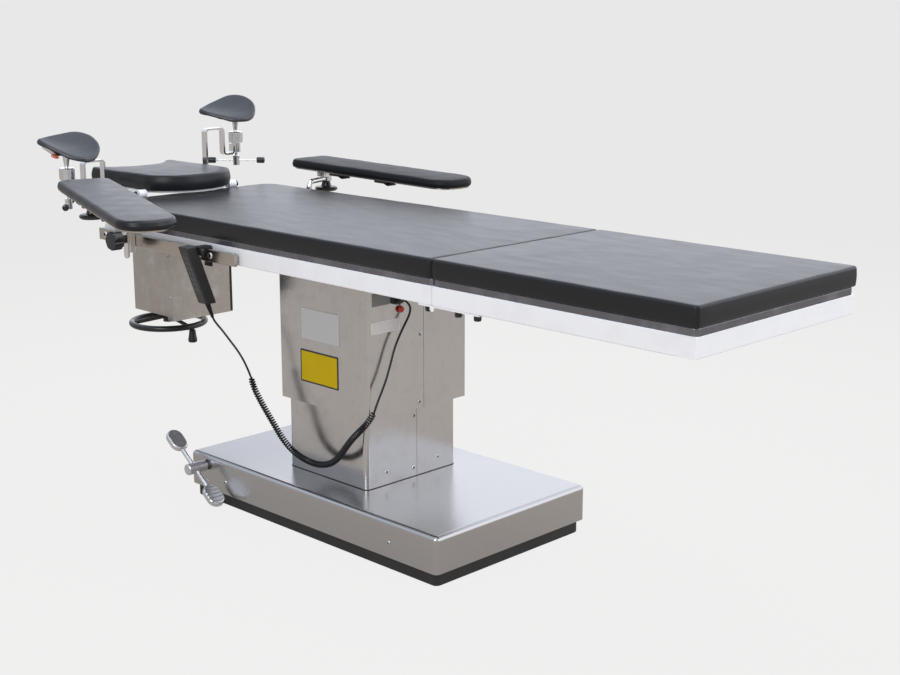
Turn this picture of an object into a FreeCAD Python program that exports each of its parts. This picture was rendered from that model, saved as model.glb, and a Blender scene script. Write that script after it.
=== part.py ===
import FreeCAD, Part
import math
import os
from FreeCAD import Vector

# Operating table. Millimetres, +Z up, +X towards the foot end, +Y towards the patient's left.
# The origin is the middle of the base on the floor.

UP = Vector(0, 0, 1)
ALONG = Vector(1, 0, 0)
ACROSS = Vector(0, 1, 0)
RIGHT_AND_LEFT = {"right": -1, "left": 1}
running_fit = 0.05
soft_gap = 0.3

# Base
base_length = 867.0
base_width = 484.6
cover_top_z = 114.6
plinth_height = 31.0
plinth_inset = 9.0
plinth_corner_radius = 14.0
plinth_chamfer = 2.0
cover_wall = 2.5
cover_edge_radius = 11.0
cover_lip = 14.0
chassis_plate = 12.0
chassis_end_inset = 33.5
chassis_side_inset = 42.3
chassis_wall = 10.0
chassis_margin = 14.0
rib_offset = 100.0

# Telescopic column
column_head_x = -165.1
column_foot_x = 109.2
column_half_width = 143.6
shroud_wall = 2.0
shroud_corner_radius = 12.0
upper_shroud_corner_radius = 4.0
lower_shroud_top_z = 445.0
upper_shroud_head_gap = 12.1
upper_shroud_foot_gap = 23.2
upper_shroud_side_gap = 10.8
upper_shroud_bottom_z = 286.8
upper_shroud_drop = 28.0
shroud_lid = 3.0
tube_x = -28.0
inner_tube_radius = 75.0
inner_tube_wall = 8.0
inner_tube_bottom_z = 250.0
outer_tube_wall = 10.0
outer_tube_top_z = 440.0
ram_radius = 25.0
ram_bottom_z = 200.0
cylinder_wall = 18.0
cylinder_top_z = 400.0
cylinder_floor = 12.0

# Tilt head
tilt_x = -22.4
tilt_shaft_radius = 18.0
yoke_plate = 10.0
yoke_length = 160.0
yoke_ear_thickness = 12.0
yoke_ear_outer_y = 82.0
yoke_ear_radius = 26.0
shaft_flange_radius = 19.5
shaft_flange_thickness = 8.0

# Table frame
frame_bottom_z = 613.2
beam_height = 40.0
beam_width = 25.0
beam_wall = 3.0
beam_corner_radius = 2.0
drain_radius = 4.0
drain_inset = 30.0
cross_beam_width = 40.0
frame_half_width = 260.0
frame_head_x = -744.0
frame_foot_x = 1075.3
section_joint_x = 440.0
section_gap = 1.0
panel_depth = 15.2
panel_sheet = 3.0
panel_inset = 2.0
panel_corner_radius = 10.0
leg_axis_drop = 6.0
hinge_leaf = 3.0
hinge_leaf_width = 28.0
hinge_pin_radius = 3.5
hinge_wall = 2.5
hinge_inset = 14.0
hinge_bolt_radius = 6.5
hinge_bolt_height = 8.0
hinge_bolt_margin = 16.0
hinge_back_bolts = (22.0,)
hinge_leg_bolts = (61.0, 113.0)
hinge_play = 0.5

# Mattress
mattress_thickness = 40.4
mattress_overhang = 4.0
mattress_head_inset = 10.3
mattress_foot_overhang = 4.7
mattress_head_radius = 36.0
mattress_corner_radius = 8.0
mattress_edge_radius = 7.0

# Side rails
rail_height = 30.0
rail_thickness = 10.0
rail_gap = 8.0
rail_length = 562.0
rail_end_radius = 2.0
spacer_radius = 9.0
spacer_head_inset = 29.0
spacer_foot_inset = 91.0

# Lifting gearbox of the head section
gearbox_length = 180.0
gearbox_lap = 43.0
gearbox_half_width = 95.0
gearbox_height = 228.2
gearbox_wall = 3.0
gearbox_top_plate = 8.0
gearbox_corner_radius = 3.0
gearbox_cover_drop = 9.0
gearbox_flange = 22.0
gearbox_flange_sheet = 2.0

# Handwheel and lead screw
wheel_inset = 89.0
wheel_y = -50.0
wheel_radius = 97.0
wheel_rim_radius = 8.0
wheel_rim_drop = 29.0
wheel_hub_radius = 14.0
wheel_hub_height = 26.0
wheel_spoke_radius = 5.0
wheel_spokes = 3
screw_radius = 9.0
screw_end_gap = 4.0
grip_pin_radius = 3.5
grip_top_radius = 8.5
grip_bottom_radius = 12.0
grip_length = 34.0
grip_top_gap = 1.0
grip_turn = 5.0

# Head carrier
carrier_post_offset = 30.0
carrier_post_y = 58.0
carrier_post_radius = 12.0
carrier_nut_rise = 45.0
carrier_nut_height = 25.0
carrier_nut_margin = 16.0
carrier_plate_drop = 45.0
carrier_plate = 8.0
carrier_plate_head_lap = 18.0
carrier_plate_foot_lap = 2.0
carrier_plate_side_lap = 9.0
head_axis_gap = 5.0
head_axis_rise = 101.8
head_pin_radius = 5.0
hinge_block_y = 147.0
hinge_block_width = 16.0
hinge_block_radius = 11.0

# Head plate and pad
head_pad_foot_reach = 7.0
head_pad_bulge_reach = 91.0
head_pad_head_reach = 259.5
head_pad_notch_reach = 196.0
head_pad_half_width = 131.0
head_pad_horn_width = 24.0
head_pad_corner_radius = 13.0
head_pad_rise = 7.5
head_pad_thickness = 40.4
head_pad_edge_radius = 6.0
head_plate_thickness = 6.0
head_plate_inset = 10.0
head_lug_thickness = 6.0
head_lug_gap = 0.5
head_tab_length = 60.0
head_lug_drop = 8.0
head_pin_end = 12.0
socket_length = 34.0
socket_depth = 30.0
socket_wall = 7.0

# Wrist rests
rest_reach = 143.0
rest_inner_y = 165.0
rest_outer_y = 225.0
rest_pole_y = 272.0
rest_bar_width = 20.0
rest_bar_thickness = 5.0
rest_bar_bend = 9.0
rest_bar_foot_drop = 20.0
rest_bar_top_rise = 139.5
rest_bar_low_rise = 61.8
rest_sleeve_radius = 12.5
rest_sleeve_rise = 67.0
rest_sleeve_length = 27.0
rest_spigot_radius = 6.0
rest_collar_radius = 20.0
rest_collar_height = 31.0
rest_collar_sides = 12
rest_collar_gap = 0.2
rest_stem_foot_radius = 5.0
rest_stem_head_radius = 11.0
rest_plate_thickness = 3.0
rest_plate_head_reach = 62.0
rest_plate_foot_reach = 14.0
rest_plate_width = 64.0
rest_plate_lip = 9.0
rest_pad_length = 136.0
rest_pad_width = 122.0
rest_pad_thickness = 24.0
rest_pad_dish = 6.0
rest_pad_tip_radius = 14.0
rest_pad_side_radius = 42.0
rest_pad_nose_radius = 50.0
rest_pad_edge_radius = 5.0
rest_pad_tilt = 16.5
rest_lever_place = 4.0
rest_lever_length = 26.0
rest_lever_width = 16.0
rest_lever_thickness = 8.0
rest_lever_pin_radius = 2.5
rest_hub_radius = 9.5
rest_hub_height = 28.0
rest_screw_radius = 4.0
rest_screw_reach = 4.0
rest_rod_radius = 2.5
rest_rod_length = 158.0
rest_cap_radius = 8.0
rest_cap_length = 20.0
rest_height = {"right": -59.0, "left": 0.0}
rest_turn = {"right": 0.0, "left": -45.0}
rest_rod_turn = {"right": -37.0, "left": 44.0}
rest_stem_height = {"right": 40.0, "left": 48.0}
rest_pad_shift = {"right": 0.0, "left": -28.0}
rest_screw_slack = {"right": 13.0, "left": 1.0}

# Arm boards
clamp_place = 154.0
clamp_width = 22.0
clamp_face_gap = 0.3
clamp_depth = 17.0
clamp_drop = 13.2
clamp_bridge = 12.0
clamp_hook = 5.6
clamp_hook_drop = 18.0
clamp_tongue_width = 19.0
clamp_tongue_thickness = 5.0
clamp_tongue_drop = 15.0
star_gap = 0.5
star_rise = 5.0
star_screw_radius = 5.0
star_radius = 24.0
star_lobe_radius = 6.0
star_lobes = 7
star_thickness = 26.0
star_neck_radius = 10.0
star_neck_length = 16.0
post_radius = 7.0
post_bend_radius = 16.0
pivot_step = -28.0
pivot_reach = 93.7
eye_rise = 72.8
eye_height = 12.0
eye_radius = 15.0
disc_screw_radius = 5.0
disc_radius = 31.0
disc_thickness = 13.0
disc_neck_radius = 12.0
disc_neck_length = 14.0
block_gap = 0.3
block_height = 15.7
block_half_length = 17.0
block_width = 40.0
pitch_pin_radius = 4.0
pitch_pin_drop = 6.5
board_rise = 20.4
board_head_length = 80.0
board_foot_length = 512.0
board_width = 132.0
board_head_radius = 26.0
board_foot_radius = 58.0
board_sheet = 3.0
board_sheet_inset = 5.0
board_pad_thickness = 22.0
board_pad_edge_radius = 6.0
board_lug_thickness = 6.0
board_lug_radius = 7.0
board_lug_gap = 0.5
board_turn = {"right": -17.5, "left": 2.0}
board_pitch = {"right": 2.5, "left": 1.3}

# Handset
handset_width = 34.0
handset_length = 150.0
handset_thickness = 28.0
handset_lean = 20.0
handset_place = 433.7
handset_reach = 52.0
handset_rise = 6.8
handset_edge_radius = 3.0
handset_panel_margin = 5.0
handset_panel_depth = 0.8
handset_panel_head = 14.0
handset_panel_foot = 24.0
hook_sheet = 5.0
hook_width = 25.0
hook_side_step = 8.0
hook_top_gap = 0.4
hook_tail_drop = 43.0
hook_back_drop = 22.0
relief_length = 36.0
relief_top_radius = 6.5
relief_end_radius = 4.0

# Socket and stop button on the column's foot side
socket_y = -70.0
socket_z = 554.0
socket_face_width = 22.0
socket_face_height = 20.0
socket_face_depth = 8.0
socket_edge_radius = 3.0
plug_radius = 7.0
plug_length = 20.0
plug_lean = 36.87
plug_start_y = -74.0
plug_start_z = 564.0
plug_x = 149.6
button_y = -58.4
button_z = 530.0
button_radius = 7.5
button_cap = 6.0
button_travel = 2.5
button_stem_radius = 3.0
button_stem_inside = 10.0

# Foot pedal
pedal_inset = 63.5
pedal_drop = 24.6
pedal_shaft_radius = 9.0
pedal_shaft_reach = 57.7
pedal_shaft_lap = 24.0
pedal_hub_radius = 14.0
pedal_hub_gap = 5.7
pedal_rod_reach = 34.7
pedal_rod_radius = 6.0
pedal_reach = 90.0
pedal_angle = 36.8
pedal_lug_thickness = 16.0
pedal_pad_length = 62.0
pedal_pad_width = 44.0
pedal_pad_thickness = 13.0
pedal_grooves = 5
pedal_groove_width = 3.0
pedal_groove_depth = 2.5
pedal_pad_socket = 22.0
pedal_pad_rise = 1.5

# Cords: lead diameter and the outer diameter of the curly stretch
lead_diameter = 5.0
curl_diameter = 13.0
arc_share = 0.45
lead_run = 12.0
lead_end_gap = 0.4

# Worked out from the sizes above
cover_floor_z = cover_top_z - cover_wall
chassis_length = base_length - 2 * chassis_end_inset
chassis_width = base_width - 2 * chassis_side_inset
pedal_x = -base_length / 2 + pedal_inset
pedal_z = cover_top_z - pedal_drop
pedal_shaft_outer_y = -base_width / 2 - pedal_shaft_reach
pedal_shaft_inner_y = -chassis_width / 2 + pedal_shaft_lap
pedal_hub_inner_y = -base_width / 2 - pedal_hub_gap
pedal_rod_y = -base_width / 2 - pedal_rod_reach
chassis_top_z = cover_floor_z
seat_z = plinth_height + chassis_plate
upper_shroud_top_z = frame_bottom_z - upper_shroud_drop
lid_bottom_z = upper_shroud_top_z - shroud_lid
shroud_foot_face_x = column_foot_x + upper_shroud_foot_gap
outer_tube_radius = inner_tube_radius + running_fit + outer_tube_wall
tilt_z = frame_bottom_z + beam_height / 2
beam_inner_y = frame_half_width - beam_width
beam_top_z = frame_bottom_z + beam_height
panel_top_z = beam_top_z + panel_depth
mattress_bottom_z = panel_top_z + soft_gap
mattress_half_width = frame_half_width + mattress_overhang
mattress_head_x = frame_head_x + mattress_head_inset
mattress_foot_x = frame_foot_x + mattress_foot_overhang
hinge_offset_y = frame_half_width - hinge_inset
back_end_x = section_joint_x - section_gap / 2
leg_start_x = section_joint_x + section_gap / 2
leg_axis_z = frame_bottom_z - leg_axis_drop
rail_inner_y = frame_half_width + rail_gap
rail_outer_y = rail_inner_y + rail_thickness
rail_bottom_z = frame_bottom_z
rail_top_z = rail_bottom_z + rail_height
rail_foot_x = frame_head_x + rail_length
spacer_head_x = frame_head_x + spacer_head_inset
spacer_foot_x = rail_foot_x - spacer_foot_inset
spacer_places = (spacer_head_x, (spacer_head_x + spacer_foot_x) / 2, spacer_foot_x)
gearbox_foot_x = frame_head_x + gearbox_lap
gearbox_head_x = gearbox_foot_x - gearbox_length
gearbox_top_z = frame_bottom_z
gearbox_bottom_z = gearbox_top_z - gearbox_height
wheel_x = gearbox_foot_x - wheel_inset
wheel_rim_z = gearbox_bottom_z - wheel_rim_drop
carrier_post_x = wheel_x - carrier_post_offset
carrier_nut_z = gearbox_bottom_z + carrier_nut_rise
head_axis_x = frame_head_x - head_axis_gap
head_axis_z = frame_bottom_z + head_axis_rise
carrier_plate_z = head_axis_z - carrier_plate_drop
carrier_plate_head_x = carrier_post_x - carrier_plate_head_lap
carrier_plate_foot_x = head_axis_x + carrier_plate_foot_lap
carrier_plate_half_width = hinge_block_y + carrier_plate_side_lap
head_pad_foot_x = head_axis_x + head_pad_foot_reach
head_pad_bulge_x = head_axis_x + head_pad_bulge_reach
head_pad_head_x = head_axis_x - head_pad_head_reach
head_pad_notch_x = head_axis_x - head_pad_notch_reach
head_pad_bottom_z = head_axis_z + head_pad_rise
head_plate_top_z = head_pad_bottom_z - soft_gap
head_plate_bottom_z = head_plate_top_z - head_plate_thickness
rest_x = head_axis_x - rest_reach
rest_bar_foot_z = head_axis_z - rest_bar_foot_drop
rest_bar_top_z = head_axis_z + rest_bar_top_rise
rest_bar_low_z = head_axis_z + rest_bar_low_rise
rest_sleeve_bottom_z = head_axis_z + rest_sleeve_rise
rest_sleeve_top_z = rest_sleeve_bottom_z + rest_sleeve_length
clamp_face_y = rail_outer_y + clamp_face_gap
clamp_x = frame_head_x + clamp_place
clamp_front_y = clamp_face_y + clamp_depth
clamp_bottom_z = rail_bottom_z - clamp_drop
clamp_top_z = rail_top_z + clamp_face_gap + clamp_bridge
star_z = rail_bottom_z + rail_height / 2 + star_rise
star_face_y = clamp_front_y + clamp_tongue_thickness + star_gap
post_y = clamp_face_y + clamp_depth / 2
pivot_x = clamp_x + pivot_step
pivot_y = clamp_face_y + pivot_reach
eye_z = rail_top_z + eye_rise
eye_top_z = eye_z + eye_height
block_bottom_z = eye_top_z + block_gap
block_top_z = block_bottom_z + block_height
pitch_z = block_top_z - pitch_pin_drop
handset_x = frame_head_x + handset_place
handset_slope = handset_thickness * math.tan(math.radians(handset_lean))
handset_front_y = -rail_outer_y - handset_reach
handset_top_z = rail_top_z + handset_rise
hook_foot_x = handset_x + handset_width / 2 + hook_side_step
hook_head_x = hook_foot_x - hook_width
hook_tail_z = rail_top_z - hook_tail_drop
hook_back_z = handset_top_z - hook_back_drop


def box(x0, x1, y0, y1, z0, z1):
    return Part.makeBox(x1 - x0, y1 - y0, z1 - z0, Vector(x0, y0, z0))


def cylinder(base, axis, radius, length):
    return Part.makeCylinder(radius, length, base, axis)


def edges_along(shape, axis):
    """Straight edges of a shape that run along an axis."""
    found = []
    for edge in shape.Edges:
        if edge.Curve.TypeId == "Part::GeomLine":
            step = edge.Vertexes[-1].Point - edge.Vertexes[0].Point
            if abs(abs(step.dot(axis)) - step.Length) < 1e-6:
                found.append(edge)
    return found


def edges_at(shape, level):
    """Edges that lie wholly at one height."""
    return [e for e in shape.Edges
            if abs(e.BoundBox.ZMin - level) < 1e-6 and abs(e.BoundBox.ZMax - level) < 1e-6]


def rounded_plate(x0, x1, y0, y1, z0, z1, radius):
    plate = box(x0, x1, y0, y1, z0, z1)
    return plate.makeFillet(radius, edges_along(plate, UP))


def rounded_outline(points, radii, z):
    """Closed outline with a tangent arc at each corner; a radius of 0 keeps the corner."""
    starts, ends, arcs = [], [], []
    count = len(points)
    for i, (point, radius) in enumerate(zip(points, radii)):
        corner = Vector(point[0], point[1], z)
        before = Vector(points[i - 1][0], points[i - 1][1], z) - corner
        after = Vector(points[(i + 1) % count][0], points[(i + 1) % count][1], z) - corner
        before.normalize()
        after.normalize()
        if radius == 0:
            starts.append(corner)
            ends.append(corner)
            arcs.append(None)
            continue
        half = before.getAngle(after) / 2
        reach = radius / math.tan(half)
        middle = before + after
        middle.normalize()
        centre = corner + middle * (radius / math.sin(half))
        first = corner + before * reach
        last = corner + after * reach
        starts.append(first)
        ends.append(last)
        arcs.append(Part.Arc(first, centre - middle * radius, last).toShape())
    edges = []
    for i in range(count):
        if arcs[i] is not None:
            edges.append(arcs[i])
        following = starts[(i + 1) % count]
        if (following - ends[i]).Length > 1e-6:
            edges.append(Part.LineSegment(ends[i], following).toShape())
    return Part.Wire(edges)


def prism(points, radii, z0, z1):
    face = Part.Face(rounded_outline(points, radii, z0))
    return face.extrude(Vector(0, 0, z1 - z0))


def profile_across(points, y0, y1):
    """A solid whose outline in the XZ plane runs from y0 to y1."""
    wire = Part.makePolygon([Vector(x, y0, z) for x, z in points + points[:1]])
    return Part.Face(wire).extrude(Vector(0, y1 - y0, 0))


def profile_along(points, x0, x1):
    """A solid whose outline in the YZ plane runs from x0 to x1."""
    wire = Part.makePolygon([Vector(x0, y, z) for y, z in points + points[:1]])
    return Part.Face(wire).extrude(Vector(x1 - x0, 0, 0))


def turned(points, centre_x, centre_y):
    """A solid of revolution about a vertical line; points are radius and height."""
    wire = Part.makePolygon([Vector(centre_x + r, centre_y, z) for r, z in points + points[:1]])
    return Part.Face(wire).revolve(Vector(centre_x, centre_y, 0), UP, 360)


def mirror_side(shape, side):
    """The right side is the left side's mirror image."""
    if side > 0:
        return shape
    return shape.mirror(Vector(0, 0, 0), ACROSS)


def group(shapes):
    return Part.makeCompound(shapes)


# Base

def base_plinth():
    half_length = base_length / 2 - plinth_inset
    half_width = base_width / 2 - plinth_inset
    slab = rounded_plate(-half_length, half_length, -half_width, half_width,
                         0, plinth_height, plinth_corner_radius)
    return slab.makeChamfer(plinth_chamfer, edges_at(slab, 0))


def pedal_bore(radius):
    start = Vector(pedal_x, -base_width, pedal_z)
    return cylinder(start, ACROSS, radius, base_width)


def base_chassis():
    """Welded steel frame inside the base; its pedestal carries the column."""
    half_length = chassis_length / 2
    half_width = chassis_width / 2
    head = column_head_x - chassis_margin
    foot = column_foot_x + chassis_margin
    side = column_half_width + chassis_margin
    floor = rounded_plate(-half_length, half_length, -half_width, half_width,
                          plinth_height, seat_z, chassis_wall)
    pedestal = box(head, foot, -side, side, seat_z, chassis_top_z)
    hollow = box(head + chassis_wall, foot - chassis_wall, -side + chassis_wall, side - chassis_wall,
                 seat_z, chassis_top_z - chassis_wall)
    pedestal = pedestal.cut(hollow)
    frame = floor.fuse(pedestal)
    for y in (-rib_offset, rib_offset):
        inner = y - chassis_wall / 2
        frame = frame.fuse(box(-half_length, head, inner, inner + chassis_wall, seat_z, chassis_top_z))
        frame = frame.fuse(box(foot, half_length, inner, inner + chassis_wall, seat_z, chassis_top_z))
    lug_y = -half_width
    lug = box(pedal_x - 2 * pedal_shaft_radius, pedal_x + 2 * pedal_shaft_radius,
              lug_y, lug_y + pedal_lug_thickness, seat_z, chassis_top_z)
    frame = frame.fuse(lug).cut(pedal_bore(pedal_shaft_radius + running_fit))
    frame = frame.cut(cylinder(Vector(tube_x, 0, seat_z), UP, outer_tube_radius + running_fit, cover_top_z))
    return frame.removeSplitter()


def base_cover():
    """Folded stainless shell, open below, with a lip that stands on the plinth."""
    half_length = base_length / 2
    half_width = base_width / 2
    outer = box(-half_length, half_length, -half_width, half_width, plinth_height, cover_top_z)
    edges = edges_along(outer, UP) + edges_at(outer, cover_top_z)
    outer = outer.makeFillet(cover_edge_radius, edges)
    inner_length = half_length - cover_wall
    inner_width = half_width - cover_wall
    inner = box(-inner_length, inner_length, -inner_width, inner_width,
                plinth_height + cover_wall, cover_floor_z)
    edges = edges_along(inner, UP) + edges_at(inner, cover_floor_z)
    inner = inner.makeFillet(cover_edge_radius - cover_wall, edges)
    mouth_length = half_length - cover_lip
    mouth_width = half_width - cover_lip
    mouth = box(-mouth_length, mouth_length, -mouth_width, mouth_width,
                plinth_height, plinth_height + cover_wall)
    shell = outer.cut(inner).cut(mouth)
    window = rounded_plate(column_head_x - running_fit, column_foot_x + running_fit,
                           -column_half_width - running_fit, column_half_width + running_fit,
                           cover_floor_z - 1, cover_top_z + 1, shroud_corner_radius)
    eye = cylinder(Vector(pedal_x, -base_width, pedal_z), ACROSS, pedal_shaft_radius + 3, base_width)
    return shell.cut(window).cut(eye)


# Pedal

def on_pedal(distance, rise=0.0):
    """A point on the pedal's rod: distance towards the head end, rise at right angles to it."""
    angle = math.radians(pedal_angle)
    x = pedal_x - distance * math.cos(angle) + rise * math.sin(angle)
    z = pedal_z + distance * math.sin(angle) + rise * math.cos(angle)
    return Vector(x, pedal_rod_y, z)


def pedal_lever():
    shaft = cylinder(Vector(pedal_x, pedal_shaft_outer_y, pedal_z), ACROSS, pedal_shaft_radius,
                     pedal_shaft_inner_y - pedal_shaft_outer_y)
    hub = cylinder(Vector(pedal_x, pedal_shaft_outer_y, pedal_z), ACROSS, pedal_hub_radius,
                   pedal_hub_inner_y - pedal_shaft_outer_y)
    hub = hub.makeChamfer(2, [e for e in hub.Edges if abs(e.BoundBox.YMax - pedal_shaft_outer_y) < 1e-6
                              and abs(e.BoundBox.YMin - pedal_shaft_outer_y) < 1e-6])
    reach = pedal_reach - pedal_pad_length / 2 + pedal_pad_socket
    start = on_pedal(-reach)
    rod = cylinder(start, on_pedal(reach) - start, pedal_rod_radius, 2 * reach)
    return shaft.fuse([hub, rod]).removeSplitter()


def oval_pad(grooved):
    """Oval tread in its own frame, its socket for the rod along X through the middle."""
    half = pedal_pad_thickness / 2
    straight = (pedal_pad_length - pedal_pad_width) / 2
    end = pedal_pad_width / 2
    pad = prism([(-straight - end, -end), (straight + end, -end), (straight + end, end),
                 (-straight - end, end)], [end * 0.98] * 4, -half - 2, half)
    pad = pad.makeFillet(half * 0.7, edges_at(pad, half) + edges_at(pad, -half - 2))
    if grooved:
        pitch = pedal_pad_length / (pedal_grooves + 1)
        for i in range(pedal_grooves):
            x = -pedal_pad_length / 2 + (i + 1) * pitch
            groove = box(x - pedal_groove_width / 2, x + pedal_groove_width / 2, -end, end,
                         half - pedal_groove_depth, half + 1)
            pad = pad.cut(groove)
    return pad


def pedal_pads():
    """Smooth tread towards the head end, ribbed tread towards the foot end."""
    pads = []
    for sign, grooved in ((1, False), (-1, True)):
        pad = oval_pad(grooved)
        socket = cylinder(Vector(-pedal_pad_length / 2 * sign, 0, -pedal_pad_rise), Vector(sign, 0, 0),
                          pedal_rod_radius, pedal_pad_socket)
        pad = pad.cut(socket)
        turn = FreeCAD.Placement(Vector(0, 0, 0), FreeCAD.Rotation(ACROSS, 180 + pedal_angle))
        flat = FreeCAD.Placement(Vector(0, 0, 0), FreeCAD.Rotation(ALONG, 180))
        pad = pad.transformGeometry(turn.multiply(flat).toMatrix())
        pad.translate(on_pedal(sign * pedal_reach, pedal_pad_rise))
        pads.append(pad)
    return group(pads)


# Column

def shroud(head, foot, side, z0, z1, radius):
    outer = rounded_plate(head, foot, -side, side, z0, z1, radius)
    inner = rounded_plate(head + shroud_wall, foot - shroud_wall, -side + shroud_wall, side - shroud_wall,
                          z0, z1, radius - shroud_wall)
    return outer, inner


def lower_shroud():
    outer, inner = shroud(column_head_x, column_foot_x, column_half_width, chassis_top_z, lower_shroud_top_z,
                          shroud_corner_radius)
    return outer.cut(inner)


def upper_shroud():
    head = column_head_x - upper_shroud_head_gap
    side = column_half_width + upper_shroud_side_gap
    outer, inner = shroud(head, shroud_foot_face_x, side, upper_shroud_bottom_z, upper_shroud_top_z,
                          upper_shroud_corner_radius)
    lid = box(head, shroud_foot_face_x, -side, side, lid_bottom_z, upper_shroud_top_z)
    body = outer.cut(inner.cut(lid))
    hole = cylinder(Vector(shroud_foot_face_x - 3 * shroud_wall, button_y, button_z), ALONG,
                    button_stem_radius + running_fit, 6 * shroud_wall)
    return body.cut(hole)


def lift_outer_tube():
    height = outer_tube_top_z - seat_z
    tube = cylinder(Vector(tube_x, 0, seat_z), UP, outer_tube_radius, height)
    bore = cylinder(Vector(tube_x, 0, seat_z), UP, inner_tube_radius + running_fit, height)
    return tube.cut(bore)


def lift_inner_tube():
    height = lid_bottom_z - inner_tube_bottom_z
    tube = cylinder(Vector(tube_x, 0, inner_tube_bottom_z), UP, inner_tube_radius, height)
    bore = cylinder(Vector(tube_x, 0, inner_tube_bottom_z), UP, inner_tube_radius - inner_tube_wall, height)
    return tube.cut(bore)


def lift_cylinder():
    """Pressure cylinder standing on the chassis, its bore open at the top."""
    outer = cylinder(Vector(tube_x, 0, seat_z), UP, ram_radius + cylinder_wall, cylinder_top_z - seat_z)
    bore = cylinder(Vector(tube_x, 0, seat_z + cylinder_floor), UP, ram_radius + running_fit, cylinder_top_z)
    return outer.cut(bore)


def lift_ram():
    ram = cylinder(Vector(tube_x, 0, ram_bottom_z), UP, ram_radius, lid_bottom_z - ram_bottom_z)
    return ram.makeChamfer(2, edges_at(ram, ram_bottom_z))


def tilt_yoke():
    """Fork on top of the column with the bores that the tilt shaft turns in."""
    half = yoke_length / 2
    plate = rounded_plate(tilt_x - half, tilt_x + half, -yoke_ear_outer_y - 8, yoke_ear_outer_y + 8,
                          upper_shroud_top_z, upper_shroud_top_z + yoke_plate, shroud_corner_radius)
    foot_z = upper_shroud_top_z + yoke_plate
    yoke = plate
    for side in (-1, 1):
        inner = min(side * yoke_ear_outer_y, side * (yoke_ear_outer_y - yoke_ear_thickness))
        slope = [(tilt_x - half * 0.7, foot_z), (tilt_x + half * 0.7, foot_z),
                 (tilt_x + yoke_ear_radius, tilt_z), (tilt_x - yoke_ear_radius, tilt_z)]
        ear = profile_across(slope, inner, inner + yoke_ear_thickness)
        round_top = cylinder(Vector(tilt_x, inner, tilt_z), ACROSS, yoke_ear_radius, yoke_ear_thickness)
        yoke = yoke.fuse([ear, round_top])
    bore = cylinder(Vector(tilt_x, -frame_half_width, tilt_z), ACROSS,
                    tilt_shaft_radius + running_fit, 2 * frame_half_width)
    return yoke.cut(bore).removeSplitter()


def handset_socket():
    face = shroud_foot_face_x
    body = box(face, face + socket_face_depth, socket_y - socket_face_width / 2,
               socket_y + socket_face_width / 2, socket_z - socket_face_height / 2,
               socket_z + socket_face_height / 2)
    return body.makeFillet(socket_edge_radius, edges_along(body, ALONG))


def stop_button():
    face = shroud_foot_face_x + button_travel + running_fit
    stem = cylinder(Vector(shroud_foot_face_x - button_stem_inside, button_y, button_z), ALONG,
                    button_stem_radius, button_stem_inside + button_travel + 1)
    cap = cylinder(Vector(face, button_y, button_z), ALONG, button_radius, button_cap)
    rim = [e for e in cap.Edges if e.BoundBox.XMin > face + button_cap - 1e-6]
    cap = cap.makeFillet(button_cap / 2, rim)
    return cap.fuse(stem).removeSplitter()


# Cords

def tube_path(points):
    """Straight runs joined by tangent arcs; each arc is as large as its two runs allow."""
    edges = []
    radii = []
    last = points[0]
    for before, corner, after in zip(points, points[1:], points[2:]):
        back = before - corner
        ahead = after - corner
        shorter = min(back.Length, ahead.Length)
        back.normalize()
        ahead.normalize()
        half = back.getAngle(ahead) / 2
        reach = arc_share * shorter
        radius = reach * math.tan(half)
        middle = back + ahead
        middle.normalize()
        first = corner + back * reach
        end = corner + ahead * reach
        crown = corner + middle * (radius / math.sin(half) - radius)
        edges.append(Part.LineSegment(last, first).toShape())
        edges.append(Part.Arc(first, crown, end).toShape())
        radii.append(radius)
        last = end
    edges.append(Part.LineSegment(last, points[-1]).toShape())
    return Part.Wire(edges), radii


def cord_tube(name, points, diameter):
    path, radii = tube_path(points)
    start = points[0]
    ring = Part.Wire([Part.Circle(start, points[1] - start, diameter / 2).toShape()])
    tube = path.makePipeShell([ring], True, False)
    section = math.pi * diameter ** 2 / 4
    print(name, "length", round(path.Length, 1), "radii", [round(r) for r in radii],
          "volume ratio", round(tube.Volume / (section * path.Length), 4))
    return tube


def relief_end(beyond):
    """A point on the strain relief's line, beyond its end."""
    angle = math.radians(handset_lean)
    down = handset_length + handset_slope / 2 + relief_length + beyond
    half = handset_thickness / 2
    y = handset_front_y + half * math.cos(angle) + down * math.sin(angle)
    z = handset_top_z + half * math.sin(angle) - down * math.cos(angle)
    return Vector(handset_x, y, z)


def plug_end(beyond):
    """A point on the plug's line, beyond its end."""
    angle = math.radians(plug_lean)
    reach = plug_length + beyond
    return Vector(plug_x, plug_start_y + reach * math.cos(angle), plug_start_z - reach * math.sin(angle))


curl_head_end = Vector(-210, -220.5, 341)
curl_foot_end = Vector(150, -154, 314)
handset_lead_route = [
    relief_end(lead_end_gap), relief_end(lead_run), Vector(-290, -239.5, 443), Vector(-268, -236, 423),
    Vector(-241, -230, 397), Vector(-220, -224.5, 367), curl_head_end]
curl_route = [
    curl_head_end, Vector(-203, -219, 319), Vector(-189, -216.5, 296), Vector(-170, -212, 268),
    Vector(-148, -206, 237), Vector(-126, -200, 205), Vector(-101, -194, 181), Vector(-70, -188, 165),
    Vector(-36, -184, 158.5), Vector(-2, -182, 160), Vector(30, -181, 171), Vector(57, -181, 191),
    Vector(80, -181, 219), Vector(102, -179.5, 245), Vector(125, -175, 268), Vector(143, -165, 291),
    curl_foot_end]
column_lead_route = [
    curl_foot_end, Vector(152, -147, 333), Vector(152, -134, 355), Vector(151, -118, 382),
    Vector(150, -104, 415), Vector(149.5, -91, 449), Vector(149.5, -72, 480), Vector(149.6, -55, 503),
    Vector(149.6, -43.5, 519), Vector(149.6, -41, 534), plug_end(lead_run), plug_end(lead_end_gap)]


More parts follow.
